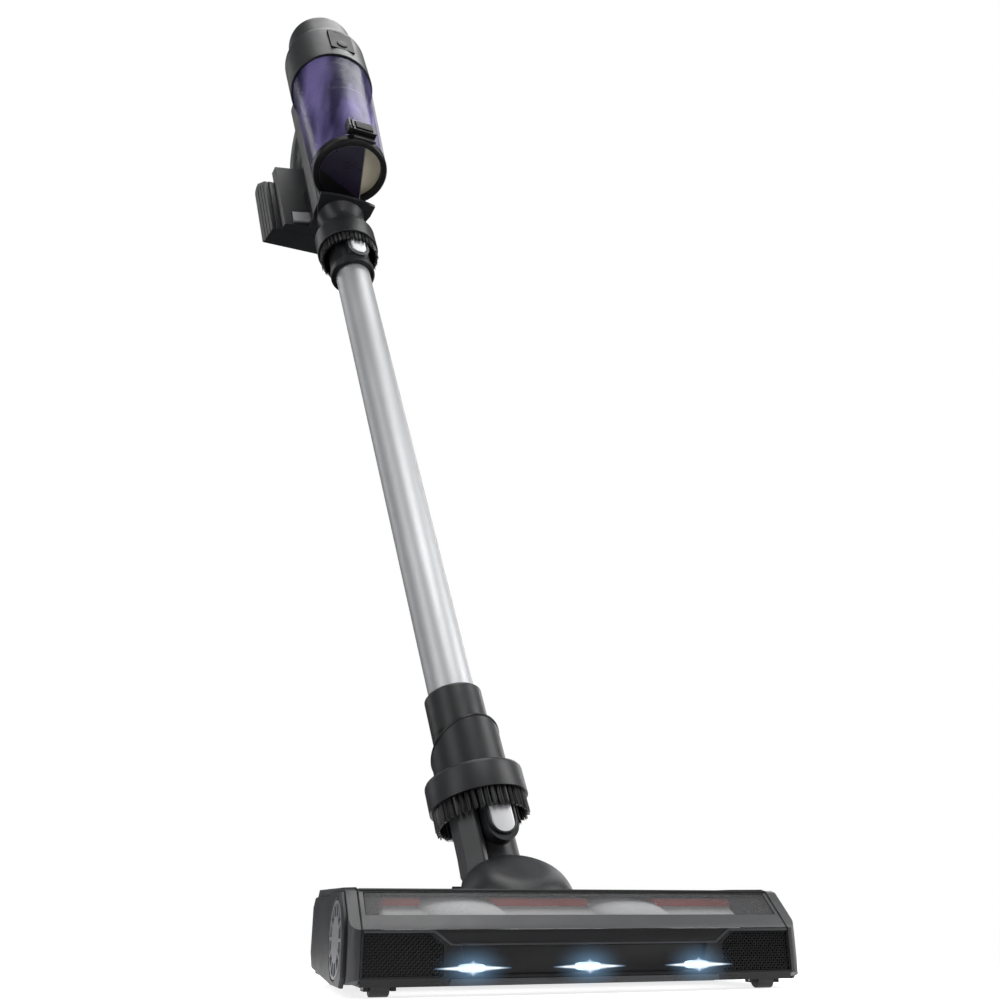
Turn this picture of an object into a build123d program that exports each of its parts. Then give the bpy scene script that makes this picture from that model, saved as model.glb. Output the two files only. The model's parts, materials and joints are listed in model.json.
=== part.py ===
from build123d import *

import os

# Cordless stick vacuum: a floor head, a steerable neck, a wand and a hand unit.
# Millimetres, +Z up, the head faces -Y.  The origin is on the floor under the middle of the head.
# The head is modelled in the part frame.  The neck and everything above it are modelled upright
# in the wand frame: +Z along the wand, -Y towards the wand's front, the wand's own axis at
# X = Y = 0 and Z = 0 level with the pitch pivot.  WAND then leans them into their place.

# ---------------------------------------------------------------- driving dimensions
HEAD_IN = 118.0          # half width of the head between its end flanges
HEAD_OUT = 124.0         # half width over the end flanges
HEAD_CAP = 126.5         # half width over the end caps
FRONT_Y = -60.0          # front face of the head
REAR_Y = 56.0            # rear face of the head
SOLE_Z = 5.0             # underside of the head above the floor
SKIN = 2.5               # wall of the head's covers
GAP = 0.3                # clearance between pieces that move past each other

BRUSH_Y, BRUSH_Z = -31.0, 25.5
BRUSH_X = (-108.0, 100.0)

PIVOT_Y, PIVOT_Z = 56.0, 40.0
LEAN = 19.0              # how far the wand leans back at rest, degrees
STEER = 12.3             # how far the neck is steered at rest, degrees
STEER_TILT = 45.0        # steering axis, forward of the wand's axis, degrees
WAND_BACK = 17.0         # wand's axis behind the pitch pivot
NOTCH_X = 40.0           # half width of the notch that the neck works in
NOTCH_FRONT = 17.0

TUBE_R = 17.0            # aluminium tube, outside
SPIGOT_R = 15.5          # plug-in end of the neck and of the wand
SOCKET_R = 15.58         # bore that takes a spigot
INLET_SPIGOT_R = 15.2    # the wand's spigot, looser so that it leaves the inlet pipe easily
LOWER_END = 80.0         # wand's lower end
LOWER_SLEEVE_TOP = 158.0
UPPER_SLEEVE = 633.0     # lower edge of the wand's upper connector
INLET = 673.0            # lower end of the hand unit's inlet pipe

BIN_Y = -49.0            # the motor, the rear cap and the top of the bin share this axis
BIN_Z = (757.0, 896.0)
BIN_R = 44.0             # the bin at its upper end
BIN_FOOT_Y = -44.0       # the bin tapers: its axis and its radius at the lower end
BIN_FOOT_R = 39.0
BIN_ENDS = ((BIN_Z[0], BIN_FOOT_Y, BIN_FOOT_R), (BIN_Z[1], BIN_Y, BIN_R))
RING_R = 46.0
RING_Z = (897.0, 956.0)
CAP_R = 37.0
CAP_TOP = 1003.0

PIVOT = Pos(0, PIVOT_Y, PIVOT_Z) * Rot(X=-LEAN)
TURRET = PIVOT * Rot(X=STEER_TILT)
ELBOW = TURRET * Rot(Z=STEER) * Rot(X=-STEER_TILT)
WAND = ELBOW * Pos(0, WAND_BACK, 0)

os.makedirs("parts", exist_ok=True)

# ---------------------------------------------------------------- head, side outline
# Outline of the head in the YZ plane, front to rear over the top and back along the sole.
HEAD_TOP = 50.0
HEAD_OUTLINE = [
    (FRONT_Y, 8.0), (FRONT_Y, 30.5), (-54.0, 36.5), (-41.5, 48.4), (-37.0, 49.5), (0.0, HEAD_TOP),
    (48.0, HEAD_TOP), (REAR_Y, 44.0), (REAR_Y, 20.0), (46.0, SOLE_Z + 1), (-54.0, SOLE_Z + 1),
]
BAND_Z = 30.5            # bottom edge of the cover's front band
WINDOW_X = 115.0         # half width of the brush window
WINDOW_H = 15.2          # height of the window along the slope
SLOPE = Plane(origin=(0, -47.75, 42.45), x_dir=(1, 0, 0), z_dir=(0, -11.9, 12.5))
ARM_X = (NOTCH_X + 0.5, NOTCH_X + 7.5)    # arms beside the neck, from and to

# top cover: a skin over the outline, open below and where the window and the neck go
with BuildPart() as head_top_cover:
    with BuildSketch(Plane.YZ.offset(-HEAD_IN)):
        with BuildLine():
            Polyline(*HEAD_OUTLINE, close=True)
        make_face()
        offset(amount=-SKIN, kind=Kind.INTERSECTION, mode=Mode.SUBTRACT)
        with Locations((-30, 0)):
            Rectangle(64, 2 * BAND_Z, mode=Mode.SUBTRACT)
        with Locations((30, 0)):
            Rectangle(62, 20, mode=Mode.SUBTRACT)
    extrude(amount=2 * HEAD_IN)
    for side in (-1, 1):
        with BuildSketch(Plane.YZ.offset(side * (HEAD_IN + HEAD_OUT) / 2)):
            with BuildLine():
                Polyline(*HEAD_OUTLINE, close=True)
            make_face()
            with Locations((BRUSH_Y, BRUSH_Z)):
                Circle(19.0, mode=Mode.SUBTRACT)
        extrude(amount=(HEAD_OUT - HEAD_IN) / 2, both=True)
    front_corners = head_top_cover.edges().filter_by(Axis.Z).group_by(Axis.Y)[0].group_by(Axis.X)
    fillet(front_corners[0] + front_corners[-1], 4.5)
    with BuildSketch(SLOPE):
        Rectangle(2 * WINDOW_X + 0.6, WINDOW_H + 0.6)
    extrude(amount=6.0, both=True, mode=Mode.SUBTRACT)
    with Locations((0, NOTCH_FRONT + 30, 30)):
        Box(2 * NOTCH_X, 60, 60, mode=Mode.SUBTRACT)
    with Locations((0, 65, 30)):
        Box(2 * ARM_X[1] + 1.0, 40, 60, mode=Mode.SUBTRACT)
head_top_cover.part.label = "head_top_cover"
export_step(head_top_cover.part, "parts/head_top_cover.step")

# window over the brush, set into the sloping face
with BuildPart() as brush_window:
    with BuildSketch(SLOPE.offset(-0.2)):
        Rectangle(2 * WINDOW_X, WINDOW_H)
    extrude(amount=-1.8)
brush_window.part.label = "brush_window"
export_step(brush_window.part, "parts/brush_window.step")

# black bumper across the front, with a recess for the headlights and a lip along its bottom
LIGHT_X = 68.0           # half width of the headlight recess
RECESS_TOP = 23.2
LAMP_X = (-62.0, 0.0, 62.0)
LAMP_Z = 12.7
with BuildPart() as front_bumper:
    with BuildSketch(Plane.YZ.offset(-HEAD_IN + 0.2)):
        with BuildLine():
            Polyline((-53.0, SOLE_Z), (-58.5, SOLE_Z), (FRONT_Y, 8.5), (FRONT_Y, BAND_Z - 0.3),
                     (-56.0, BAND_Z - 0.3), (-56.0, 12.0), (-53.0, 10.0), close=True)
        make_face()
    extrude(amount=2 * HEAD_IN - 0.4)
    with BuildSketch(Plane.XZ.offset(-FRONT_Y)):
        with BuildLine():
            Polyline((3 - LIGHT_X, 9.5), (LIGHT_X - 3, 9.5), (LIGHT_X, RECESS_TOP), (-LIGHT_X, RECESS_TOP),
                     close=True)
        make_face()
    extrude(amount=-2.2, taper=18, mode=Mode.SUBTRACT)
    for side in (-1, 1):
        with BuildSketch(Plane.XZ.offset(-FRONT_Y)):
            with BuildLine():
                Polyline((side * 117.0, 9.5), (side * 77.0, 9.5), (side * 77.0, 23.0), (side * 84.0, 28.6),
                         (side * 117.0, 28.6), close=True)
            make_face()
        extrude(amount=-1.4, mode=Mode.SUBTRACT)
    with Locations(*[(x, FRONT_Y + 2, LAMP_Z) for x in LAMP_X]):
        Box(15, 4, 4.2, mode=Mode.SUBTRACT)
front_bumper.part.label = "front_bumper"
export_step(front_bumper.part, "parts/front_bumper.step")

with BuildPart() as headlight_lenses:
    with Locations(*[(x, FRONT_Y + 2.8, LAMP_Z) for x in LAMP_X]):
        Box(14.4, 2.0, 3.6)
headlight_lenses.part.label = "headlight_lenses"
export_step(headlight_lenses.part, "parts/headlight_lenses.step")

# lower shell: sole plate with the brush mouth, chamber walls, suction duct and the neck's two arms
PLATE_T = 3.0
MOUTH = (-110.0, 100.5, -43.0, -15.0)     # brush mouth: x from, x to, y from, y to
WALL_Y = -8.0                             # wall behind the brush
WHEEL_X, WHEEL_Y, WHEEL_R, WHEEL_W = 84.0, 34.0, 10.5, 9.0
ROLLER_X, ROLLER_Y, ROLLER_R, ROLLER_W = 106.5, -48.0, 4.5, 10.0
SCREW_X, SCREW_Y = (-106.0, -64.0, 64.0, 106.0), 31.0
with BuildPart() as head_base:
    with BuildSketch(Plane.XY.offset(SOLE_Z)):
        with Locations((0, (-52.7 + 52.0) / 2)):
            Rectangle(2 * HEAD_IN - 0.6, 104.7)
        with Locations(((MOUTH[0] + MOUTH[1]) / 2, (MOUTH[2] + MOUTH[3]) / 2)):
            Rectangle(MOUTH[1] - MOUTH[0], MOUTH[3] - MOUTH[2], mode=Mode.SUBTRACT)
        with Locations((-ROLLER_X, ROLLER_Y + 1), (ROLLER_X, ROLLER_Y + 1)):
            Rectangle(ROLLER_W + 1, 2 * ROLLER_R + 3, mode=Mode.SUBTRACT)
        with Locations((-WHEEL_X, WHEEL_Y), (WHEEL_X, WHEEL_Y)):
            Rectangle(WHEEL_W + 2, 2 * WHEEL_R + 1, mode=Mode.SUBTRACT)
    extrude(amount=PLATE_T)
    # wall behind the brush and wall between the brush and the belt
    with Locations(((MOUTH[0] + MOUTH[1]) / 2, WALL_Y, 27.0)):
        Box(MOUTH[1] - MOUTH[0], 2.2, 40.0)
    with Locations((MOUTH[1] + 0.9, -25.0, 20.0)):
        Box(1.8, 34.0, 26.0)
    with Locations((MOUTH[1] + 0.9, BRUSH_Y, BRUSH_Z)):
        Cylinder(5.0, 4.0, rotation=(0, 90, 0), mode=Mode.SUBTRACT)
    # blocks with the plain bearings at both ends of the brush
    for x in (-114.5, 114.0):
        with Locations((x, BRUSH_Y, 19.0)):
            Box(5.0, 20.0, 24.0)
        with Locations((x, BRUSH_Y, BRUSH_Z)):
            Cylinder(3.1, 8.0, rotation=(0, 90, 0), mode=Mode.SUBTRACT)
    # suction duct from the chamber to the neck
    with Locations((0, 4.5, 26.0)):
        Box(48.0, 23.0, 26.0)
    with Locations((0, 3.0, 26.0)):
        Box(44.0, 30.0, 22.0, mode=Mode.SUBTRACT)
    # arms that carry the pivot pins, one on each side of the neck
    for side in (-1, 1):
        with BuildSketch(Plane.YZ.offset(side * (ARM_X[0] + ARM_X[1]) / 2)):
            with BuildLine():
                Polyline((17.0, SOLE_Z), (60.0, SOLE_Z), (66.0, 28.0), (66.0, 42.0), (61.0, 46.9),
                         (17.0, 46.9), close=True)
            make_face()
            with Locations((PIVOT_Y, PIVOT_Z)):
                Circle(4.05, mode=Mode.SUBTRACT)
        extrude(amount=(ARM_X[1] - ARM_X[0]) / 2, both=True)
    # cheeks that carry the wheels' and the rollers' axles
    for x in (-WHEEL_X, WHEEL_X):
        with Locations((x - WHEEL_W / 2 - 2.5, WHEEL_Y, 11.0), (x + WHEEL_W / 2 + 2.5, WHEEL_Y, 11.0)):
            Box(3.0, 12.0, 12.0)
        with Locations((x, WHEEL_Y, WHEEL_R)):
            Cylinder(2.0, WHEEL_W + 12, rotation=(0, 90, 0), mode=Mode.SUBTRACT)
    for x in (-ROLLER_X, ROLLER_X):
        with Locations((x - ROLLER_W / 2 - 1.8, ROLLER_Y, 5.8), (x + ROLLER_W / 2 + 1.8, ROLLER_Y, 5.8)):
            Box(2.6, 8.0, 6.0)
        with Locations((x, ROLLER_Y, ROLLER_R)):
            Cylinder(1.2, ROLLER_W + 8, rotation=(0, 90, 0), mode=Mode.SUBTRACT)
    # posts for the screws that hold the two shells together
    for x in SCREW_X:
        with Locations(Pos(x, SCREW_Y, SOLE_Z)):
            Cylinder(4.0, 14.0, align=(Align.CENTER, Align.CENTER, Align.MIN))
            Cylinder(1.45, 30.0, mode=Mode.SUBTRACT)
            Cylinder(3.2, 3.0, mode=Mode.SUBTRACT)
head_base.part.label = "head_base"
export_step(head_base.part, "parts/head_base.step")

# end caps; the left one carries the dial that releases the brush
DIAL_R = 18.5
for label, side in (("end_cap_left", -1), ("end_cap_right", 1)):
    with BuildPart() as end_cap:
        with BuildSketch(Plane.YZ.offset(side * HEAD_OUT)):
            with BuildLine():
                Polyline((-54.0, 9.0), (-49.5, 4.2), (-20.0, 4.2), (46.0, 8.5), (53.0, 17.0), (53.0, 41.0),
                         (46.0, 46.0), (-8.0, 46.5), (-13.0, 48.8), (-39.0, 47.8), (-50.0, 37.6),
                         (-54.0, 28.0), close=True)
            make_face()
            if side < 0:
                with Locations((BRUSH_Y, BRUSH_Z)):
                    Circle(DIAL_R + 0.5, mode=Mode.SUBTRACT)
        extrude(amount=side * (HEAD_CAP - HEAD_OUT))
        chamfer(end_cap.faces().sort_by(Axis.X)[-1 if side > 0 else 0].outer_wire().edges(), 0.8)
    end_cap.part.label = label
    export_step(end_cap.part, f"parts/{label}.step")

with BuildPart() as brush_lock_dial:
    with BuildSketch(Plane.YZ.offset(-HEAD_CAP + 0.2)):
        with Locations((BRUSH_Y, BRUSH_Z)):
            Circle(DIAL_R)
    extrude(amount=HEAD_CAP - HEAD_IN - 0.8)
    with BuildSketch(Plane.YZ.offset(-HEAD_CAP + 0.2)):
        with Locations((BRUSH_Y, BRUSH_Z)):
            Circle(17.0)
            Circle(11.0, mode=Mode.SUBTRACT)
            with PolarLocations(14.0, 12):
                Rectangle(7.0, 1.6, mode=Mode.SUBTRACT)
    extrude(amount=1.2, mode=Mode.SUBTRACT)
    with Locations((-HEAD_IN, BRUSH_Y, BRUSH_Z)):
        Cylinder(3.6, 6.0, rotation=(0, 90, 0), mode=Mode.SUBTRACT)
brush_lock_dial.part.label = "brush_lock_dial"
export_step(brush_lock_dial.part, "parts/brush_lock_dial.step")

# ---------------------------------------------------------------- brush and its drive
BRUSH_AXIS = Plane(origin=(BRUSH_X[0], BRUSH_Y, BRUSH_Z), x_dir=(0, 1, 0), z_dir=(1, 0, 0))
BRUSH_LEN = BRUSH_X[1] - BRUSH_X[0]
with BuildPart() as brush_core:
    with BuildSketch(BRUSH_AXIS):
        Circle(14.0)
    extrude(amount=BRUSH_LEN)
    with BuildSketch(BRUSH_AXIS.offset(-10.4)):
        Circle(3.0)
    extrude(amount=BRUSH_LEN + 27.0)
brush_core.part.label = "brush_core"
export_step(brush_core.part, "parts/brush_core.step")

FIN_STEPS = 9            # the bristle rows climb round the sleeve in steps, to a V in the middle
with BuildPart() as brush_sleeve:
    with BuildSketch(BRUSH_AXIS.offset(1.0)):
        Circle(18.5)
        Circle(14.0, mode=Mode.SUBTRACT)
    extrude(amount=BRUSH_LEN - 2.0)
    for step in range(2 * FIN_STEPS + 1):
        turn = 10.0 * abs(step - FIN_STEPS)
        step_len = (BRUSH_LEN - 6.0) / (2 * FIN_STEPS + 1)
        with BuildSketch(BRUSH_AXIS.offset(3.0 + step * step_len)):
            with PolarLocations(18.9, 4, start_angle=turn):
                Rectangle(3.6, 4.4)
        extrude(amount=step_len)
brush_sleeve.part.label = "brush_sleeve"
export_step(brush_sleeve.part, "parts/brush_sleeve.step")

MOTOR_Y, MOTOR_Z = 8.0, 28.0
BELT_X, BELT_W = 103.2, 6.0
BRUSH_PULLEY_R, MOTOR_PULLEY_R = 9.0, 5.4
for label, pulley_y, pulley_z, radius, teeth, bore in (
    ("brush_pulley", BRUSH_Y, BRUSH_Z, BRUSH_PULLEY_R, 20, 3.0),
    ("motor_pulley", MOTOR_Y, MOTOR_Z, MOTOR_PULLEY_R, 12, 1.6),
):
    pulley_face = Plane(origin=(BELT_X, pulley_y, pulley_z), x_dir=(0, 1, 0), z_dir=(1, 0, 0))
    with BuildPart() as pulley:
        with BuildSketch(pulley_face):
            Circle(radius)
            Circle(bore, mode=Mode.SUBTRACT)
            with PolarLocations(radius, teeth):
                Circle(0.5, mode=Mode.SUBTRACT)
        extrude(amount=BELT_W)
        with BuildSketch(pulley_face.offset(BELT_W)):
            Circle(radius + 1.6)
            Circle(bore, mode=Mode.SUBTRACT)
        extrude(amount=1.0)
    pulley.part.label = label
    export_step(pulley.part, f"parts/{label}.step")

with BuildPart() as drive_belt:
    with BuildSketch(Plane.YZ.offset(BELT_X + 0.4)):
        for grow, mode in ((1.7, Mode.ADD), (0.3, Mode.SUBTRACT)):
            with BuildSketch(mode=mode):
                with Locations((BRUSH_Y, BRUSH_Z)):
                    Circle(BRUSH_PULLEY_R + grow)
                with Locations((MOTOR_Y, MOTOR_Z)):
                    Circle(MOTOR_PULLEY_R + grow)
                make_hull()
    extrude(amount=BELT_W - 0.8)
drive_belt.part.label = "drive_belt"
export_step(drive_belt.part, "parts/drive_belt.step")

MOTOR_END = Plane(origin=(50.0, MOTOR_Y, MOTOR_Z), x_dir=(0, 1, 0), z_dir=(1, 0, 0))
with BuildPart() as brush_motor:
    with BuildSketch(MOTOR_END):
        Circle(12.5)
    extrude(amount=46.0)
    fillet(brush_motor.edges().filter_by(GeomType.CIRCLE), 1.5)
    with BuildSketch(MOTOR_END.offset(46.0)):
        Circle(5.0)
    extrude(amount=4.0)
    with BuildSketch(MOTOR_END.offset(50.0)):
        Circle(1.55)
    extrude(amount=12.0)
brush_motor.part.label = "brush_motor"
export_step(brush_motor.part, "parts/brush_motor.step")

# ---------------------------------------------------------------- wheels, rollers, seal, screws
for label, side in (("rear_wheel_left", -1), ("rear_wheel_right", 1)):
    with BuildPart() as wheel:
        with Locations((side * WHEEL_X, WHEEL_Y, WHEEL_R)):
            Cylinder(WHEEL_R, WHEEL_W, rotation=(0, 90, 0))
        fillet(wheel.edges().filter_by(GeomType.CIRCLE), 1.2)
        with Locations((side * WHEEL_X, WHEEL_Y, WHEEL_R)):
            Cylinder(2.05, WHEEL_W + 2, rotation=(0, 90, 0), mode=Mode.SUBTRACT)
    wheel.part.label = label
    export_step(wheel.part, f"parts/{label}.step")

for label, side in (("front_roller_left", -1), ("front_roller_right", 1)):
    with BuildPart() as roller:
        with Locations((side * ROLLER_X, ROLLER_Y, ROLLER_R)):
            Cylinder(ROLLER_R, ROLLER_W, rotation=(0, 90, 0))
        fillet(roller.edges().filter_by(GeomType.CIRCLE), 0.8)
        with Locations((side * ROLLER_X, ROLLER_Y, ROLLER_R)):
            Cylinder(1.25, ROLLER_W + 2, rotation=(0, 90, 0), mode=Mode.SUBTRACT)
    roller.part.label = label
    export_step(roller.part, f"parts/{label}.step")

with BuildPart() as wheel_axles:
    with Locations((-WHEEL_X, WHEEL_Y, WHEEL_R), (WHEEL_X, WHEEL_Y, WHEEL_R)):
        Cylinder(1.98, WHEEL_W + 7, rotation=(0, 90, 0))
    with Locations((-ROLLER_X, ROLLER_Y, ROLLER_R), (ROLLER_X, ROLLER_Y, ROLLER_R)):
        Cylinder(1.18, ROLLER_W + 6, rotation=(0, 90, 0))
wheel_axles.part.label = "wheel_axles"
export_step(wheel_axles.part, "parts/wheel_axles.step")

with BuildPart() as rear_strip:
    with Locations((-4.0, -12.0, 3.4)):
        Box(200.0, 3.0, 3.2)
rear_strip.part.label = "rear_strip"
export_step(rear_strip.part, "parts/rear_strip.step")

with BuildPart() as head_screws:
    with Locations(*[Pos(x, SCREW_Y, SOLE_Z + 1.4) for x in SCREW_X]):
        Cylinder(3.0, 1.2, align=(Align.CENTER, Align.CENTER, Align.MAX))
        Cylinder(1.4, 10.0, align=(Align.CENTER, Align.CENTER, Align.MIN))
head_screws.part.label = "head_screws"
export_step(head_screws.part, "parts/head_screws.step")

# ---------------------------------------------------------------- neck
# In the turret frame the pitch pivot is the origin and +Z is the steering axis.
CRADLE_R = 34.0
CRADLE_T = 5.5
DUCT_R = 13.0
with BuildPart() as neck_cradle:
    Cylinder(19.0, 2 * 38.0, rotation=(0, 90, 0))
    with BuildSketch(Plane.XY):
        Circle(CRADLE_R)
    extrude(amount=CRADLE_T)
    split(bisect_by=Plane.XY.offset(CRADLE_T), keep=Keep.BOTTOM)
    with BuildSketch(Plane.XY.offset(-30)):
        Circle(DUCT_R)
    extrude(amount=60, mode=Mode.SUBTRACT)
    Cylinder(16.0, 2 * 30.0, rotation=(0, 90, 0), mode=Mode.SUBTRACT)
    Cylinder(3.0, 2 * 40.0, rotation=(0, 90, 0), mode=Mode.SUBTRACT)
    with BuildSketch(Plane.XY.offset(CRADLE_T)):
        Circle(20.0)
        Circle(17.5, mode=Mode.SUBTRACT)
    extrude(amount=3.0)
neck_cradle.part.label = "neck_cradle"
export_step(neck_cradle.part.moved(TURRET), "parts/neck_cradle.step")

with BuildPart() as neck_pins:
    for side in (-1, 1):
        with Locations((side * 42.7, 0, 0)):
            Cylinder(3.98, 9.2, rotation=(0, 90, 0))
        with Locations((side * 34.5, 0, 0)):
            Cylinder(3.0, 9.0, rotation=(0, 90, 0))
neck_pins.part.label = "neck_pins"
export_step(neck_pins.part.moved(TURRET), "parts/neck_pins.step")

# In the elbow frame the pivot is the origin, the wand's axis is parallel to Z at Y = WAND_BACK.
DOME_R = 36.0
DOME_H = 20.5
STEER_AXIS = Plane.XY.rotated((STEER_TILT, 0, 0))
BUTTON_Z = 56.0
with BuildPart() as neck_elbow:
    with BuildSketch(STEER_AXIS.offset(CRADLE_T + GAP)):
        Circle(DOME_R)
    extrude(amount=5.0)
    with BuildSketch(STEER_AXIS.offset(CRADLE_T + GAP + 5.0)):
        Circle(DOME_R)
    with BuildSketch(STEER_AXIS.offset(CRADLE_T + GAP + 14.5)):
        Circle(29.5)
    with BuildSketch(STEER_AXIS.offset(CRADLE_T + GAP + DOME_H)):
        Circle(14.0)
    loft()
    # neck tube up to the wand, and the boss that holds the button
    with BuildSketch(Plane.XY.offset(8.0)):
        with Locations((0, WAND_BACK)):
            Circle(19.0)
    extrude(amount=LOWER_END - 1.0 - 8.0)
    with BuildSketch(Plane.XZ.offset(9.0 - WAND_BACK)):
        with Locations((0, BUTTON_Z + 3)):
            SlotOverall(38.0, 23.0, rotation=90)
    extrude(amount=17.5)
    split(bisect_by=STEER_AXIS.offset(CRADLE_T + GAP), keep=Keep.TOP)
    # hollow dome, air passage and the button's pocket
    with BuildSketch(STEER_AXIS):
        Circle(DOME_R - 3.0)
    extrude(amount=CRADLE_T + 4.0, mode=Mode.SUBTRACT)
    with BuildSketch(STEER_AXIS.offset(CRADLE_T + 4.0)):
        Circle(DOME_R - 3.0)
    with BuildSketch(STEER_AXIS.offset(CRADLE_T + 15.0)):
        Circle(20.0)
    loft(mode=Mode.SUBTRACT)
    with BuildSketch(Plane.XY.offset(14.0)):
        with Locations((0, WAND_BACK)):
            Circle(13.2)
    extrude(amount=80.0, mode=Mode.SUBTRACT)
    with BuildSketch(Plane.XZ.offset(30.0 - WAND_BACK)):
        with Locations((0, BUTTON_Z + 2)):
            SlotOverall(29.0, 17.6, rotation=90)
    extrude(amount=-8.0, mode=Mode.SUBTRACT)
neck_elbow.part.label = "neck_elbow"
export_step(neck_elbow.part.moved(ELBOW), "parts/neck_elbow.step")

SPIGOT_BORE = 13.2
SPIGOT_LEN = 39.0
with BuildPart() as neck_spigot:
    with BuildSketch(Plane.XY.offset(LOWER_END - 1.0)):
        with Locations((0, WAND_BACK)):
            Circle(SPIGOT_R)
            Circle(SPIGOT_BORE, mode=Mode.SUBTRACT)
    extrude(amount=SPIGOT_LEN)
neck_spigot.part.label = "neck_spigot"
export_step(neck_spigot.part.moved(ELBOW), "parts/neck_spigot.step")

with BuildPart() as head_release_button:
    with BuildSketch(Plane.XZ.offset(8.0)):
        with Locations((0, BUTTON_Z + 2)):
            SlotOverall(28.2, 16.8, rotation=90)
    extrude(amount=3.0)
    fillet(head_release_button.faces().sort_by(Axis.Y)[0].edges(), 1.2)
head_release_button.part.label = "head_release_button"
export_step(head_release_button.part.moved(ELBOW), "parts/head_release_button.step")

# ---------------------------------------------------------------- wand
with BuildPart() as wand_tube:
    with BuildSketch(Plane.XY.offset(LOWER_END + 40.0)):
        Circle(TUBE_R)
        Circle(TUBE_R - 1.5, mode=Mode.SUBTRACT)
    extrude(amount=UPPER_SLEEVE + 35.0 - LOWER_END - 40.0)
wand_tube.part.label = "wand_tube"
export_step(wand_tube.part.moved(WAND), "parts/wand_tube.step")

with BuildPart() as wand_lower_sleeve:
    with BuildSketch(Plane.XY.offset(LOWER_END)):
        Circle(21.0)
        Circle(SOCKET_R, mode=Mode.SUBTRACT)
    extrude(amount=39.8)
    with BuildSketch(Plane.XY.offset(LOWER_END + 39.8)):
        Circle(21.0)
        Circle(TUBE_R, mode=Mode.SUBTRACT)
    extrude(amount=LOWER_SLEEVE_TOP - LOWER_END - 39.8)
    fillet(wand_lower_sleeve.faces().sort_by(Axis.Z)[-1].outer_wire().edges(), 1.5)
wand_lower_sleeve.part.label = "wand_lower_sleeve"
export_step(wand_lower_sleeve.part.moved(WAND), "parts/wand_lower_sleeve.step")

# sliding brush collars: an oval flange that opens downwards, and a sleeve cut off at a slant
COLLAR_Z = 74.5
SLEEVE_CUT = Plane(origin=(0, -26, COLLAR_Z + 53.0), x_dir=(1, 0, 0), z_dir=(0, 0.42, 1))
with BuildPart() as lower_brush_collar:
    with BuildSketch(Plane.XY.offset(COLLAR_Z)):
        with Locations((0, -1.5)):
            Ellipse(34.5, 33.0)
    extrude(amount=20.0)
    fillet(lower_brush_collar.edges().filter_by(GeomType.ELLIPSE).sort_by(Axis.Z)[-1], 3.0)
    with BuildSketch(Plane.XY.offset(COLLAR_Z + 18.0)):
        with Locations((0, -1.0)):
            Circle(25.5)
    extrude(amount=35.0)
    split(bisect_by=SLEEVE_CUT, keep=Keep.BOTTOM)
    with BuildSketch(Plane.XY.offset(COLLAR_Z)):
        with Locations((0, -1.5)):
            Ellipse(32.5, 31.0)
    extrude(amount=16.0, mode=Mode.SUBTRACT)
    with BuildSketch(Plane.XY.offset(COLLAR_Z)):
        Circle(21.0 + GAP)
    extrude(amount=80.0, mode=Mode.SUBTRACT)
lower_brush_collar.part.label = "lower_brush_collar"
export_step(lower_brush_collar.part.moved(WAND), "parts/lower_brush_collar.step")

with BuildPart() as lower_brush_bristles:
    with BuildSketch(Plane.XY.offset(COLLAR_Z - 17.0)):
        with Locations((0, -1.5)):
            Ellipse(32.3, 30.8)
            Ellipse(29.6, 28.2, mode=Mode.SUBTRACT)
    extrude(amount=32.8)
lower_brush_bristles.part.label = "lower_brush_bristles"
export_step(lower_brush_bristles.part.moved(WAND), "parts/lower_brush_bristles.step")

UPPER_BUTTON_Z = 653.0
with BuildPart() as wand_upper_connector:
    with BuildSketch(Plane.XY.offset(UPPER_SLEEVE)):
        Circle(22.0)
    extrude(amount=7.0)
    with BuildSketch(Plane.XY.offset(UPPER_SLEEVE + 7.0)):
        Circle(20.3)
    extrude(amount=INLET - 0.5 - UPPER_SLEEVE - 7.0)
    with BuildSketch(Plane.XZ.offset(18.0)):
        with Locations((0, UPPER_BUTTON_Z)):
            SlotOverall(30.0, 22.0, rotation=90)
    extrude(amount=6.6)
    with Locations((0, 21.0, UPPER_SLEEVE + 8.0)):
        Box(9.0, 9.0, 14.0)
    with BuildSketch(Plane.XY.offset(UPPER_SLEEVE)):
        Circle(TUBE_R)
    extrude(amount=35.0, mode=Mode.SUBTRACT)
    with BuildSketch(Plane.XY.offset(UPPER_SLEEVE)):
        Circle(13.2)
    extrude(amount=120.0, mode=Mode.SUBTRACT)
    with BuildSketch(Plane.XZ.offset(18.4)):
        with Locations((0, UPPER_BUTTON_Z)):
            SlotOverall(24.0, 16.6, rotation=90)
    extrude(amount=8.0, mode=Mode.SUBTRACT)
wand_upper_connector.part.label = "wand_upper_connector"
export_step(wand_upper_connector.part.moved(WAND), "parts/wand_upper_connector.step")

with BuildPart() as wand_spigot:
    with BuildSketch(Plane.XY.offset(INLET - 0.5)):
        Circle(INLET_SPIGOT_R)
        Circle(SPIGOT_BORE, mode=Mode.SUBTRACT)
    extrude(amount=SPIGOT_LEN + 3.0)
wand_spigot.part.label = "wand_spigot"
export_step(wand_spigot.part.moved(WAND), "parts/wand_spigot.step")

with BuildPart() as wand_release_button:
    with BuildSketch(Plane.XZ.offset(21.2)):
        with Locations((0, UPPER_BUTTON_Z)):
            SlotOverall(23.2, 15.8, rotation=90)
    extrude(amount=4.6)
    fillet(wand_release_button.faces().sort_by(Axis.Y)[0].edges(), 1.2)
wand_release_button.part.label = "wand_release_button"
export_step(wand_release_button.part.moved(WAND), "parts/wand_release_button.step")

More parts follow.
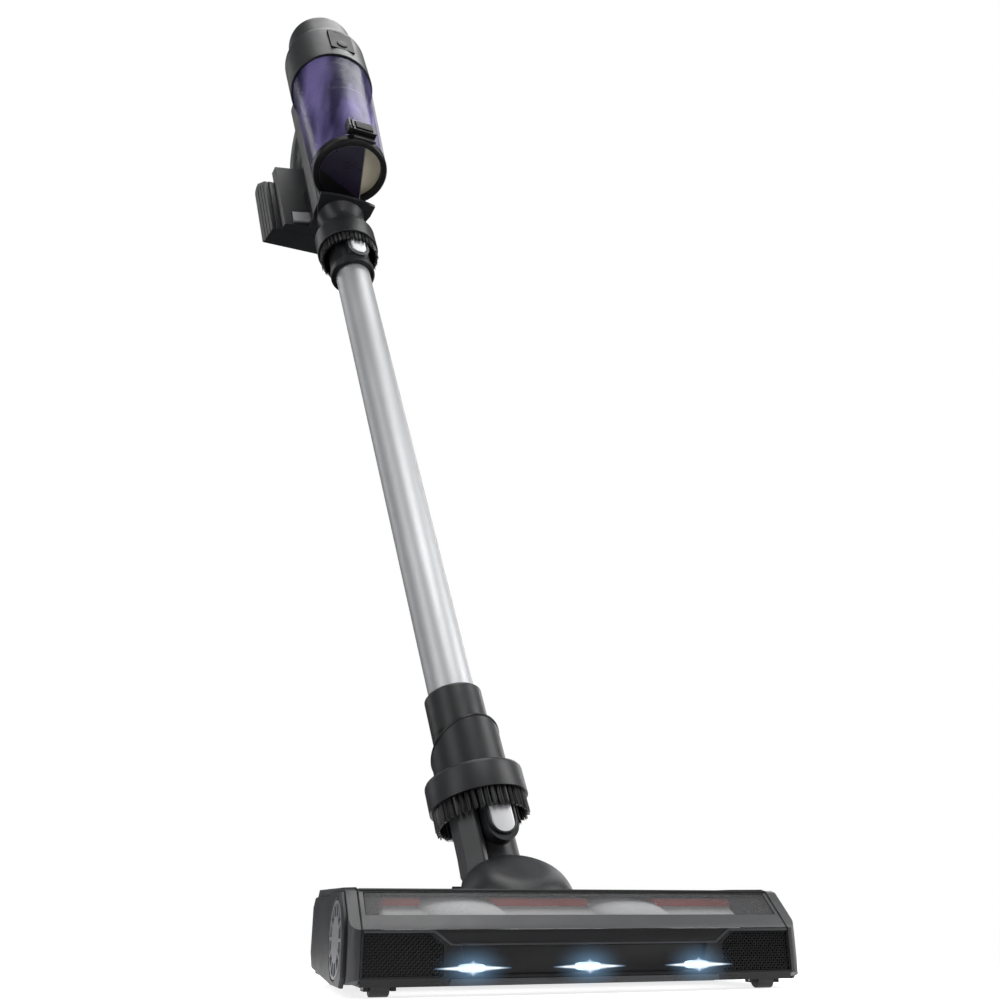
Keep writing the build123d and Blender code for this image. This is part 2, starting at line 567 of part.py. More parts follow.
# ---------------------------------------------------------------- hand unit, inlet and spine
PIPE_R = 19.5
PIPE_TOP = 712.0
FLANGE_Z = 724.0
with BuildPart() as inlet_housing:
    with BuildSketch(Plane.XY.offset(INLET)):
        Circle(PIPE_R)
    extrude(amount=PIPE_TOP - INLET)
    with BuildSketch(Plane.XY.offset(PIPE_TOP)):
        Circle(PIPE_R)
    with BuildSketch(Plane.XY.offset(FLANGE_Z)):
        with Locations((0, -3.0)):
            Ellipse(25.0, 23.0)
    loft()
    with BuildSketch(Plane.XY.offset(FLANGE_Z)):
        with BuildLine():
            ThreePointArc((-30.0, -27.0), (0.0, -30.0), (30.0, -27.0))
            Polyline((30.0, -27.0), (29.0, -14.0), (19.0, 15.0), (-19.0, 15.0), (-29.0, -14.0),
                     (-30.0, -27.0))
        make_face()
    extrude(amount=4.0)
    with BuildSketch(Plane.XY.offset(FLANGE_Z + 4.0)):
        with Locations((0, 2.0)):
            RectangleRounded(36.0, 26.0, 8.0)
    extrude(amount=10.0)
    for side in (-1, 1):
        with Locations((side * 13.5, -13.0, FLANGE_Z + 12.5)):
            Box(5.0, 8.0, 17.0)
    with BuildSketch(Plane.XY.offset(INLET)):
        Circle(SOCKET_R)
    extrude(amount=43.5, mode=Mode.SUBTRACT)
    with Locations((0, -13.0, FLANGE_Z + 18.0)):
        Cylinder(1.9, 40.0, rotation=(0, 90, 0), mode=Mode.SUBTRACT)
inlet_housing.part.label = "inlet_housing"
export_step(inlet_housing.part.moved(WAND), "parts/inlet_housing.step")

UPPER_COLLAR_Z = 668.0
with BuildPart() as upper_brush_collar:
    with BuildSketch(Plane.XY.offset(UPPER_COLLAR_Z)):
        with Locations((0, -1.0)):
            Ellipse(31.0, 30.0)
    extrude(amount=25.5)
    fillet(upper_brush_collar.edges().filter_by(GeomType.ELLIPSE).sort_by(Axis.Z)[-1], 3.0)
    with BuildSketch(Plane.XY.offset(UPPER_COLLAR_Z)):
        with Locations((0, -1.0)):
            Ellipse(29.0, 28.0)
    extrude(amount=21.0, mode=Mode.SUBTRACT)
    with BuildSketch(Plane.XY.offset(UPPER_COLLAR_Z)):
        Circle(PIPE_R + GAP)
    extrude(amount=30.0, mode=Mode.SUBTRACT)
upper_brush_collar.part.label = "upper_brush_collar"
export_step(upper_brush_collar.part.moved(WAND), "parts/upper_brush_collar.step")

with BuildPart() as upper_brush_bristles:
    with BuildSketch(Plane.XY.offset(UPPER_COLLAR_Z - 15.0)):
        with Locations((0, -1.0)):
            Ellipse(28.9, 27.9)
            Ellipse(26.6, 26.2, mode=Mode.SUBTRACT)
    extrude(amount=35.8)
upper_brush_bristles.part.label = "upper_brush_bristles"
export_step(upper_brush_bristles.part.moved(WAND), "parts/upper_brush_bristles.step")

# spine: hugs the back of the bin and joins the inlet to the motor housing
with BuildPart() as spine_frame:
    with BuildSketch(Plane.XY.offset(FLANGE_Z + 14.2)):
        with Locations((0, 1.0)):
            RectangleRounded(50.0, 34.0, 12.0)
        with Locations((0, BIN_Y)):
            Circle(BIN_R + 0.8, mode=Mode.SUBTRACT)
        with Locations((0, 7.0)):
            RectangleRounded(24.0, 14.0, 4.0, mode=Mode.SUBTRACT)
    extrude(amount=RING_Z[0] - 1.0 - FLANGE_Z - 14.2)
    with Locations((0, -17.0, FLANGE_Z + 18.0)):
        Box(44.0, 20.0, 12.0, mode=Mode.SUBTRACT)
spine_frame.part.label = "spine_frame"
export_step(spine_frame.part.moved(WAND), "parts/spine_frame.step")

# ---------------------------------------------------------------- bin, lid and cyclone
with BuildPart() as dust_bin:
    for wall, mode in ((0.0, Mode.ADD), (2.2, Mode.SUBTRACT)):
        for end_z, end_y, end_r in BIN_ENDS:
            with BuildSketch(Plane.XY.offset(end_z)):
                with Locations((0, end_y)):
                    Circle(end_r - wall)
        loft(mode=mode)
dust_bin.part.label = "dust_bin"
export_step(dust_bin.part.moved(WAND), "parts/dust_bin.step")

LID_Z = (747.5, 756.6)
HINGE_Y, HINGE_Z = -13.0, FLANGE_Z + 18.0
LATCH_X, LATCH_Y, LATCH_Z = 2.0, BIN_FOOT_Y - BIN_FOOT_R - 2.0, BIN_Z[0] + 9.0
LID_BORE = 33.0
with BuildPart() as bin_lid:
    with BuildSketch(Plane.XY.offset(LID_Z[0])):
        with Locations((0, BIN_FOOT_Y)):
            Circle(BIN_FOOT_R)
            Circle(LID_BORE, mode=Mode.SUBTRACT)
    extrude(amount=LID_Z[1] - LID_Z[0])
    fillet(bin_lid.faces().sort_by(Axis.Z)[0].outer_wire().edges(), 2.5)
    with BuildSketch(Plane.XY.offset(LID_Z[1] - 2.4)):
        with Locations((0, BIN_FOOT_Y)):
            Circle(LID_BORE + 1.3)
    extrude(amount=1.6, mode=Mode.SUBTRACT)
    with Locations((0, HINGE_Y, HINGE_Z)):
        Cylinder(3.6, 21.0, rotation=(0, 90, 0))
    with Locations((0, HINGE_Y - 0.5, HINGE_Z + 4.0)):
        Box(21.0, 7.0, 6.0)
    with Locations((0, HINGE_Y, HINGE_Z)):
        Cylinder(1.95, 24.0, rotation=(0, 90, 0), mode=Mode.SUBTRACT)
    with Locations((LATCH_X, LATCH_Y + 1.5, LID_Z[0] + 5.0)):
        Box(24.0, 3.0, 6.0)
    # relief at the back, so that the lid's rear edge clears the bin as it swings
    with Locations((0, -5.0, LID_Z[1] - 1.0)):
        Box(60.0, 10.0, 4.2, mode=Mode.SUBTRACT)
bin_lid.part.label = "bin_lid"
export_step(bin_lid.part.moved(WAND), "parts/bin_lid.step")

with BuildPart() as lid_window:
    with BuildSketch(Plane.XY.offset(LID_Z[1] - 2.4)):
        with Locations((0, BIN_FOOT_Y)):
            Circle(LID_BORE + 1.2)
    extrude(amount=1.6)
lid_window.part.label = "lid_window"
export_step(lid_window.part.moved(WAND), "parts/lid_window.step")

with BuildPart() as lid_hinge_pin:
    with Locations((0, HINGE_Y, HINGE_Z)):
        Cylinder(1.88, 32.0, rotation=(0, 90, 0))
lid_hinge_pin.part.label = "lid_hinge_pin"
export_step(lid_hinge_pin.part.moved(WAND), "parts/lid_hinge_pin.step")

# latch: a frame fixed on the bin's front edge, and a button that is pressed inwards
with BuildPart() as latch_frame:
    with Locations((0, LATCH_Y, LATCH_Z)):
        Box(30.0, 8.0, 17.0)
    for end_z, end_y, end_r in BIN_ENDS:
        with BuildSketch(Plane.XY.offset(end_z)):
            with Locations((0, end_y)):
                Circle(end_r)
    loft(mode=Mode.SUBTRACT)
    with Locations((LATCH_X, LATCH_Y - 2.0, LATCH_Z)):
        Box(19.0, 6.0, 13.0, mode=Mode.SUBTRACT)
latch_frame.part.label = "latch_frame"
export_step(latch_frame.part.moved(WAND), "parts/latch_frame.step")

with BuildPart() as lid_latch_button:
    with Locations((LATCH_X, LATCH_Y - 3.4, LATCH_Z)):
        Box(18.2, 3.6, 12.2)
    fillet(lid_latch_button.faces().sort_by(Axis.Y)[0].edges(), 1.0)
lid_latch_button.part.label = "lid_latch_button"
export_step(lid_latch_button.part.moved(WAND), "parts/lid_latch_button.step")

with BuildPart() as inlet_duct:
    with BuildSketch(Plane.XY.offset(BIN_Z[0] + 2.0)):
        with Locations((0, -26.0)):
            Trapezoid(39.0, 22.0, 75, rotation=180)
    with BuildSketch(Plane.XY.offset(BIN_Z[0] + 60.0)):
        with Locations((0, -26.0)):
            Trapezoid(34.0, 22.0, 75, rotation=180)
    loft()
    with BuildSketch(Plane.XY.offset(BIN_Z[0] + 5.0)):
        with Locations((0, -26.0)):
            RectangleRounded(22.0, 16.0, 4.0)
    extrude(amount=60.0, mode=Mode.SUBTRACT)
inlet_duct.part.label = "inlet_duct"
export_step(inlet_duct.part.moved(WAND), "parts/inlet_duct.step")

with BuildPart() as cyclone_core:
    with BuildSketch(Plane.XZ):
        with BuildLine():
            Polyline((17.0, 824.0), (24.0, 829.0), (26.0, 838.0), (37.0, 842.0), (37.0, 845.0),
                     (23.0, 845.0),
                     (20.0, 832.0), (15.0, 829.0), close=True)
        make_face()
    revolve(axis=Axis.Z)
    with BuildSketch(Plane.XY.offset(886.0)):
        Circle(38.0)
        Circle(20.0, mode=Mode.SUBTRACT)
    extrude(amount=5.0)
    with PolarLocations(24.0, 6):
        with Locations((0, 0, 866.0)):
            Cylinder(1.6, 42.0)
cyclone_core.part.label = "cyclone_core"
export_step(cyclone_core.part.moved(WAND * Pos(0, BIN_Y, 0)), "parts/cyclone_core.step")

with BuildPart() as mesh_shroud:
    with BuildSketch(Plane.XY.offset(845.2)):
        Circle(21.6)
        Circle(20.6, mode=Mode.SUBTRACT)
    extrude(amount=40.6)
mesh_shroud.part.label = "mesh_shroud"
export_step(mesh_shroud.part.moved(WAND * Pos(0, BIN_Y, 0)), "parts/mesh_shroud.step")

# ---------------------------------------------------------------- motor, housing and rear cap
with BuildPart() as motor_housing:
    with BuildSketch(Plane.XY.offset(RING_Z[0])):
        with Locations((0, BIN_Y)):
            Circle(RING_R)
        with Locations((0, -2.0)):
            RectangleRounded(44.0, 52.0, 12.0)
    extrude(amount=RING_Z[1] - RING_Z[0])
    fillet(motor_housing.faces().sort_by(Axis.Z)[-1].outer_wire().edges(), 4.0)
    with BuildSketch(Plane.XY.offset(RING_Z[0])):
        with Locations((0, BIN_Y)):
            Circle(RING_R - 3.0)
    extrude(amount=RING_Z[1] - RING_Z[0] - 3.0, mode=Mode.SUBTRACT)
    with BuildSketch(Plane.XY.offset(RING_Z[0])):
        with Locations((0, BIN_Y)):
            Circle(28.0)
    extrude(amount=80.0, mode=Mode.SUBTRACT)
    with Locations((0, BIN_Y - RING_R, 928.0)):
        Box(28.0, 5.0, 36.0, mode=Mode.SUBTRACT)
motor_housing.part.label = "motor_housing"
export_step(motor_housing.part.moved(WAND), "parts/motor_housing.step")

with BuildPart() as control_panel:
    with Locations((0, BIN_Y - RING_R + 1.2, 928.0)):
        Box(27.4, 2.4, 35.4)
    with Locations((0, BIN_Y - RING_R, 921.0)):
        Cylinder(6.2, 10.0, rotation=(90, 0, 0), mode=Mode.SUBTRACT)
control_panel.part.label = "control_panel"
export_step(control_panel.part.moved(WAND), "parts/control_panel.step")

with BuildPart() as power_button:
    with Locations((0, BIN_Y - RING_R + 0.1, 921.0)):
        Cylinder(5.9, 2.2, rotation=(90, 0, 0))
    fillet(power_button.edges().filter_by(GeomType.CIRCLE).sort_by(Axis.Y)[0], 0.7)
power_button.part.label = "power_button"
export_step(power_button.part.moved(WAND), "parts/power_button.step")

MOTOR_AXIS = WAND * Pos(0, BIN_Y, 0)
with BuildPart() as suction_motor:
    with BuildSketch(Plane.XY.offset(914.0)):
        Circle(25.0)
    extrude(amount=5.0)
    with BuildSketch(Plane.XY.offset(919.0)):
        Circle(21.0)
    extrude(amount=36.0)
    with BuildSketch(Plane.XY.offset(955.0)):
        Circle(12.0)
    extrude(amount=6.0)
    with BuildSketch(Plane.XY.offset(900.0)):
        Circle(2.5)
    extrude(amount=16.0)
suction_motor.part.label = "suction_motor"
export_step(suction_motor.part.moved(MOTOR_AXIS), "parts/suction_motor.step")

with BuildPart() as impeller:
    with BuildSketch(Plane.XY.offset(908.5)):
        Circle(23.0)
        Circle(2.55, mode=Mode.SUBTRACT)
    extrude(amount=2.0)
    with BuildSketch(Plane.XY.offset(901.5)):
        with PolarLocations(14.5, 9):
            Rectangle(14.0, 1.4, rotation=35)
        Circle(6.0)
        Circle(2.55, mode=Mode.SUBTRACT)
    extrude(amount=7.2)
impeller.part.label = "impeller"
export_step(impeller.part.moved(MOTOR_AXIS), "parts/impeller.step")

with BuildPart() as rear_cap:
    with BuildSketch(Plane.XY.offset(RING_Z[1] + 0.3)):
        Circle(CAP_R)
    extrude(amount=CAP_TOP - RING_Z[1] - 0.3)
    fillet(rear_cap.faces().sort_by(Axis.Z)[-1].edges(), 9.0)
    with BuildSketch(Plane.XY.offset(RING_Z[1] + 0.3)):
        Circle(CAP_R - 2.5)
    extrude(amount=CAP_TOP - RING_Z[1] - 6.3, mode=Mode.SUBTRACT)
    with BuildSketch(Plane.XY.offset(CAP_TOP - 12.0)):
        for radius, count in ((8.0, 6), (15.0, 12), (22.0, 18)):
            with PolarLocations(radius, count):
                SlotOverall(5.0, 2.4, rotation=90)
    extrude(amount=20.0, mode=Mode.SUBTRACT)
rear_cap.part.label = "rear_cap"
export_step(rear_cap.part.moved(MOTOR_AXIS), "parts/rear_cap.step")

with BuildPart() as exhaust_filter:
    with BuildSketch(Plane.XY.offset(RING_Z[1])):
        Circle(33.0)
        Circle(22.0, mode=Mode.SUBTRACT)
        with PolarLocations(33.0, 40):
            Circle(1.1, mode=Mode.SUBTRACT)
    extrude(amount=34.0)
exhaust_filter.part.label = "exhaust_filter"
export_step(exhaust_filter.part.moved(MOTOR_AXIS), "parts/exhaust_filter.step")

# ---------------------------------------------------------------- handle, trigger and battery
GRIP_START = (0, 12.0, 936.0)
GRIP_MIDDLE = (0, 56.0, 912.0)
GRIP_END = (0, 62.0, 866.0)
TRIGGER_AXIS = (0, 47.0, 907.0)
BASE_X = 39.0            # half width of the block between the handle and the pack
BASE_Y = (42.0, 62.0)
BASE_Z = (768.0, 778.3)  # its underside, at the front and at the rear
BASE_TOP = (878.0, 884.0)
for label, keep in (("handle_right", Keep.TOP), ("handle_left", Keep.BOTTOM)):
    with BuildPart() as handle:
        with BuildLine() as grip_line:
            ThreePointArc(GRIP_START, GRIP_MIDDLE, GRIP_END)
        with BuildSketch(Plane(origin=GRIP_START, x_dir=(1, 0, 0), z_dir=grip_line.line % 0)):
            Ellipse(14.5, 17.0)
            Ellipse(12.0, 14.5, mode=Mode.SUBTRACT)
        sweep()
        with Locations((0, -26.0, 930.0)):
            Box(60.0, 100.4, 80.0, mode=Mode.SUBTRACT)
        # the trigger's slot, and below it the seat on the base and the slope over the pack
        with BuildSketch(Plane.YZ):
            with BuildLine():
                Polyline((28.0, 913.5), (48.0, 914.0), (54.5, 905.0), (57.0, 886.0),
                         (36.0, 886.0), close=True)
            make_face()
        extrude(amount=6.6, both=True, mode=Mode.SUBTRACT)
        with BuildSketch(Plane.YZ):
            with BuildLine():
                Polyline((30.0, 840.0), (30.0, BASE_TOP[0]), (BASE_Y[0], BASE_TOP[0]),
                         (BASE_Y[1], BASE_TOP[1]),
                         (BASE_Y[1], 867.2), (88.0, 897.2), (110.0, 897.2), (110.0, 840.0), close=True)
            make_face()
        extrude(amount=30.0, both=True, mode=Mode.SUBTRACT)
        with Locations(TRIGGER_AXIS):
            Cylinder(1.2, 25.0, rotation=(0, 90, 0))
        split(bisect_by=Plane.YZ, keep=keep)
    handle.part.label = label
    export_step(handle.part.moved(WAND), f"parts/{label}.step")

with BuildPart() as trigger:
    with BuildSketch(Plane.YZ):
        with BuildLine():
            Polyline((38.5, 908.5), (36.5, 903.5), (41.0, 892.5), (45.5, 888.0), (52.5, 889.0),
                     (51.0, 904.0),
                     (47.5, 910.5), close=True)
        make_face()
    extrude(amount=6.0, both=True)
    fillet(trigger.edges().filter_by(Axis.X), 1.2)
    with Locations(TRIGGER_AXIS):
        Cylinder(1.4, 20.0, rotation=(0, 90, 0), mode=Mode.SUBTRACT)
trigger.part.label = "trigger"
export_step(trigger.part.moved(WAND), "parts/trigger.step")

# the base's front leans back to both sides, with a release button set into each side
FACE_LEAN = 12.0
CATCH_X, CATCH_Y, CATCH_Z = 20.0, 46.2, 784.0
TONGUE_X, TONGUE_Y, TONGUE_Z = 31.0, 53.0, (797.0, 862.0)
with BuildPart() as battery_base:
    with BuildSketch(Plane.XY.offset(BASE_Z[0] - 10.0)):
        with BuildLine():
            Polyline((0.0, BASE_Y[0]), (BASE_X, 50.3), (BASE_X, BASE_Y[1]), (-BASE_X, BASE_Y[1]),
                     (-BASE_X, 50.3), close=True)
        make_face()
    extrude(amount=140.0)
    with BuildSketch(Plane.YZ):
        with BuildLine():
            Polyline((BASE_Y[0], BASE_Z[0]), (BASE_Y[1], BASE_Z[1]), (BASE_Y[1], BASE_TOP[1]),
                     (BASE_Y[0], BASE_TOP[0]), close=True)
        make_face()
    extrude(amount=60.0, both=True, mode=Mode.INTERSECT)
    # the web that joins the base to the spine
    with Locations((0, 31.9, 799.0)):
        Box(26.0, 27.8, 62.0)
    with Locations((0, BASE_Y[1], (TONGUE_Z[0] + TONGUE_Z[1]) / 2)):
        Box(2 * TONGUE_X + 1.0, 2 * (BASE_Y[1] - TONGUE_Y) + 1.0, TONGUE_Z[1] - TONGUE_Z[0] + 1.0,
            mode=Mode.SUBTRACT)
    for side in (-1, 1):
        with Locations(Pos(side * CATCH_X, CATCH_Y, CATCH_Z) * Rot(Z=side * FACE_LEAN)):
            Box(21.4, 10.8, 16.8, mode=Mode.SUBTRACT)
battery_base.part.label = "battery_base"
export_step(battery_base.part.moved(WAND), "parts/battery_base.step")

with BuildPart() as battery_release:
    for side in (-1, 1):
        with Locations(Pos(side * CATCH_X, CATCH_Y, CATCH_Z) * Rot(Z=side * FACE_LEAN) * Pos(0, 0.4, 0)):
            Box(20.0, 5.4, 16.0)
    fillet(battery_release.edges().filter_by(Axis.Z), 0.6)
battery_release.part.label = "battery_release"
export_step(battery_release.part.moved(WAND), "parts/battery_release.step")

PACK_X = 48.0
PACK_FRONT = 62.5
PACK_REAR = 100.0
CELL_R, CELL_LEN = 10.5, 70.0
CELL_Y, CELL_Z = 81.0, 834.2
JACK_Z = 842.0
with BuildPart() as battery_pack:
    with BuildSketch(Plane.YZ):
        with BuildLine():
            Polyline((PACK_FRONT, 778.7), (PACK_REAR, 798.0), (PACK_REAR, 896.0), (88.0, 896.0),
                     (PACK_FRONT, 866.6), close=True)
        make_face()
    extrude(amount=PACK_X, both=True)
    fillet(battery_pack.edges().filter_by(Axis.X).group_by(Axis.Y)[-1], 6.0)
    # steps beside the base, and three upright grooves on each side
    for side in (-1, 1):
        with Locations((side * PACK_X, PACK_FRONT, CELL_Z)):
            Box(8.0, 7.0, 140.0, mode=Mode.SUBTRACT)
        with Locations(*[(side * PACK_X, groove_y, CELL_Z) for groove_y in (73.0, 81.0, 89.0)]):
            Box(2.4, 1.6, 140.0, mode=Mode.SUBTRACT)
    # tongue that slides into the base, room for the cells, and the charging jack
    with Locations((0, (TONGUE_Y + PACK_FRONT + 2.3) / 2, sum(TONGUE_Z) / 2)):
        Box(2 * TONGUE_X, PACK_FRONT + 1.7 - TONGUE_Y, TONGUE_Z[1] - TONGUE_Z[0])
    with Locations((0, CELL_Y, CELL_Z)):
        Box(2 * PACK_X - 8.0, 2 * CELL_R + 2.0, CELL_LEN + 3.4, mode=Mode.SUBTRACT)
    with Locations((0, 66.0, sum(TONGUE_Z) / 2)):
        Box(52.0, 20.0, 56.0, mode=Mode.SUBTRACT)
    with Locations((0, 97.0, JACK_Z)):
        Cylinder(2.75, 12.0, rotation=(90, 0, 0), mode=Mode.SUBTRACT)
battery_pack.part.label = "battery_pack"
export_step(battery_pack.part.moved(WAND), "parts/battery_pack.step")

with BuildPart() as battery_cells:
    with Locations(*[(cell_x, CELL_Y, CELL_Z) for cell_x in (-33.0, -11.0, 11.0, 33.0)]):
        Cylinder(CELL_R, CELL_LEN)
battery_cells.part.label = "battery_cells"
export_step(battery_cells.part.moved(WAND), "parts/battery_cells.step")
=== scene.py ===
import json
import random
from math import atan2, cos, degrees, pi, radians, sin, sqrt

import bmesh
import bpy
from mathutils import Matrix, Vector, noise


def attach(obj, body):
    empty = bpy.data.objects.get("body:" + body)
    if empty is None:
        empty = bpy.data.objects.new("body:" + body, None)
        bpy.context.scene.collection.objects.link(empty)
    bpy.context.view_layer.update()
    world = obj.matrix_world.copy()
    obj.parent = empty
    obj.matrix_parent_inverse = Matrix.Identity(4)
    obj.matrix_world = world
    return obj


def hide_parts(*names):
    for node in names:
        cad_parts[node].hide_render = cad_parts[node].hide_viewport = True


# Cordless stick vacuum.  Every piece is built in millimetres in one of the frames below and is
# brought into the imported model's metres by its frame's matrix.
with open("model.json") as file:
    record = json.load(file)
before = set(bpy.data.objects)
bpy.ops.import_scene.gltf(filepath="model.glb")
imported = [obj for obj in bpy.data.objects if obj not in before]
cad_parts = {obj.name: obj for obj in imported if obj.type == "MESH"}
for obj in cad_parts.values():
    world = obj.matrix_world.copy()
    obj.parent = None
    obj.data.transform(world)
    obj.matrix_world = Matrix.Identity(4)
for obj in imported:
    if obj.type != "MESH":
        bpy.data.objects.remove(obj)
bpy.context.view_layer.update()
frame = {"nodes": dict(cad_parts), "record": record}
NODES = frame["nodes"]
SLOT_OF = {part["node"]: part["material_slot"] for part in frame["record"]["subparts"]}
BODY_OF = {node: body for body, nodes in frame["record"]["behaviour"]["bodies"].items() for node in nodes}


def turn(axis, angle):
    return Matrix.Rotation(radians(angle), 4, axis)


def shift(x, y, z):
    return Matrix.Translation((x, y, z))


LEAN, STEER, STEER_TILT = 19.0, 12.3, 45.0       # degrees
PIVOT_Y, PIVOT_Z = 56.0, 40.0                    # where the head pitches under the neck
WAND_BACK = 17.0                                 # from the pitch pivot to the wand's axis
HEAD = Matrix.Scale(0.001, 4)
PIVOT = HEAD @ shift(0, PIVOT_Y, PIVOT_Z) @ turn("X", -LEAN)
TURRET = PIVOT @ turn("X", STEER_TILT)           # +Z is the steering axis
ELBOW = TURRET @ turn("Z", STEER) @ turn("X", -STEER_TILT)
WAND = ELBOW @ shift(0, WAND_BACK, 0)            # the wand's axis is X = Y = 0, its front is -Y
BIN_Y = -49.0                                    # the axis of the bin and motor in the wand's frame
ROLL = HEAD @ shift(-4.0, -31.0, 25.5)           # the middle of the brush roll

# ---------------------------------------------------------------- camera and light
scene = bpy.context.scene
camera_data = bpy.data.cameras.new("camera")
camera_data.sensor_width = 36.0
camera_data.lens = 36.0
camera_data.clip_start = 0.01
camera = bpy.data.objects.new("camera", camera_data)
CAMERA_TILT, CAMERA_YAW = 22.25, -17.74          # degrees up from level, and to the right
camera.location = (-0.2149, -0.5819, 0.0397)
camera.rotation_euler = (radians(90 + CAMERA_TILT), 0, radians(CAMERA_YAW))
scene.collection.objects.link(camera)
scene.camera = camera
scene.view_settings.view_transform = "Standard"


def area_light(name, location, target, size, power):
    data = bpy.data.lights.new(name, "AREA")
    data.shape = "RECTANGLE"
    data.size, data.size_y = size
    data.energy = power
    light = bpy.data.objects.new(name, data)
    light.location = location
    light.rotation_euler = (Vector(target) - Vector(location)).to_track_quat("-Z", "Y").to_euler()
    scene.collection.objects.link(light)


area_light("softbox_left", (-1.25, -0.45, 0.75), (0, 0.1, 0.4), (0.5, 1.7), 11)
area_light("softbox_right", (1.35, -0.30, 0.80), (0, 0.1, 0.4), (0.6, 1.7), 26)
area_light("strip_back_left", (-1.1, 1.1, 0.9), (0, 0.15, 0.5), (0.3, 1.6), 5)
area_light("strip_back_right", (1.1, 1.2, 0.9), (0, 0.15, 0.5), (0.3, 1.6), 7)
area_light("window_fill", (0.0, -0.30, 0.78), (0, -0.04, 0.04), (0.3, 0.3), 2.5)
area_light("overhead", (0.1, 0.3, 2.3), (0, 0.1, 0.3), (1.4, 1.0), 26)

# white to the camera and dim to everything else, so that only the softboxes are mirrored
world = bpy.data.worlds.new("studio")
scene.world = world
world.use_nodes = True
world_tree = world.node_tree
backdrop = world_tree.nodes["Background"]
backdrop.inputs["Color"].default_value = (1, 1, 1, 1)
backdrop.inputs["Strength"].default_value = 1.0
dim = world_tree.nodes.new("ShaderNodeBackground")
dim.inputs["Color"].default_value = (0.92, 0.95, 1.0, 1)
dim.inputs["Strength"].default_value = 0.10
ray = world_tree.nodes.new("ShaderNodeLightPath")
choose = world_tree.nodes.new("ShaderNodeMixShader")
world_tree.links.new(ray.outputs["Is Camera Ray"], choose.inputs["Fac"])
world_tree.links.new(dim.outputs["Background"], choose.inputs[1])
world_tree.links.new(backdrop.outputs["Background"], choose.inputs[2])
world_tree.links.new(choose.outputs["Shader"], world_tree.nodes["World Output"].inputs["Surface"])


# ---------------------------------------------------------------- materials
def nodes_of(name):
    material = bpy.data.materials.new(name)
    material.use_nodes = True
    tree = material.node_tree
    return material, tree, tree.nodes["Principled BSDF"]


def noise_node(tree, scale, detail=2.0, rough=0.5, stretch=None):
    coords = tree.nodes.new("ShaderNodeTexCoord")
    out = coords.outputs["Object"]
    if stretch:
        mapping = tree.nodes.new("ShaderNodeMapping")
        mapping.inputs["Scale"].default_value = stretch
        tree.links.new(out, mapping.inputs["Vector"])
        out = mapping.outputs["Vector"]
    texture = tree.nodes.new("ShaderNodeTexNoise")
    texture.inputs["Scale"].default_value = scale
    texture.inputs["Detail"].default_value = detail
    texture.inputs["Roughness"].default_value = rough
    tree.links.new(out, texture.inputs["Vector"])
    return texture.outputs["Fac"]


def spread(tree, value, low, high, start=0.3, end=0.7):
    node = tree.nodes.new("ShaderNodeMapRange")
    node.inputs["From Min"].default_value = start
    node.inputs["From Max"].default_value = end
    node.inputs["To Min"].default_value = low
    node.inputs["To Max"].default_value = high
    tree.links.new(value, node.inputs["Value"])
    return node.outputs["Result"]


def tint(tree, value, low, high):
    node = tree.nodes.new("ShaderNodeMix")
    node.data_type = "RGBA"
    node.inputs["A"].default_value = (*low, 1)
    node.inputs["B"].default_value = (*high, 1)
    tree.links.new(value, node.inputs["Factor"])
    return node.outputs["Result"]


def bump(tree, value, shader, depth):
    node = tree.nodes.new("ShaderNodeBump")
    node.inputs["Strength"].default_value = 1.0
    node.inputs["Distance"].default_value = depth
    tree.links.new(value, node.inputs["Height"])
    tree.links.new(node.outputs["Normal"], shader.inputs["Normal"])


def plastic(name, colour, rough, grain=0.00004, vary=0.12, specular=0.5):
    """Moulded plastic: a fine spark-eroded grain, and slow drifts of tone and gloss."""
    material, tree, shader = nodes_of(name)
    slow = noise_node(tree, 22.0, 3.0)
    dark = tuple(c * (1 - vary) for c in colour)
    light = tuple(min(1.0, c * (1 + vary)) for c in colour)
    tree.links.new(tint(tree, spread(tree, slow, 0, 1), dark, light), shader.inputs["Base Color"])
    gloss = noise_node(tree, 60.0, 4.0)
    tree.links.new(spread(tree, gloss, rough - 0.05, rough + 0.05), shader.inputs["Roughness"])
    shader.inputs["Specular IOR Level"].default_value = specular
    bump(tree, noise_node(tree, 1400.0, 2.0), shader, grain)
    return material


def metal(name, colour, rough, grain=0.00002, metallic=1.0):
    """Metal with a fine blasted grain."""
    material, tree, shader = nodes_of(name)
    blast = noise_node(tree, 900.0, 3.0, 0.6)
    dark = tuple(c * 0.92 for c in colour)
    tree.links.new(tint(tree, spread(tree, noise_node(tree, 14.0, 3.0), 0, 1), dark, colour),
                   shader.inputs["Base Color"])
    tree.links.new(spread(tree, blast, rough - 0.05, rough + 0.06), shader.inputs["Roughness"])
    shader.inputs["Metallic"].default_value = metallic
    bump(tree, blast, shader, grain)
    return material


def clear(name, colour, alpha, rough, dark=None, stretch=None):
    """Tinted clear plastic, seen as a thin skin, its tone wandering between dark and colour; stretch
    draws that tone out into streaks, which on the bin are painted highlights and painted shade.
    """
    material, tree, shader = nodes_of(name)
    tone_and_painted_light = spread(tree, noise_node(tree, 26.0, 2.0, 0.5, stretch), 0, 1, 0.38, 0.62)
    dark = dark or tuple(c * 0.9 for c in colour)
    tree.links.new(tint(tree, tone_and_painted_light, dark, colour), shader.inputs["Base Color"])
    gloss = noise_node(tree, 40.0, 3.0)
    tree.links.new(spread(tree, gloss, rough, rough + 0.05), shader.inputs["Roughness"])
    shader.inputs["Alpha"].default_value = alpha
    shader.inputs["Specular IOR Level"].default_value = 0.35
    bump(tree, noise_node(tree, 30.0, 1.0), shader, 0.00004)
    return material


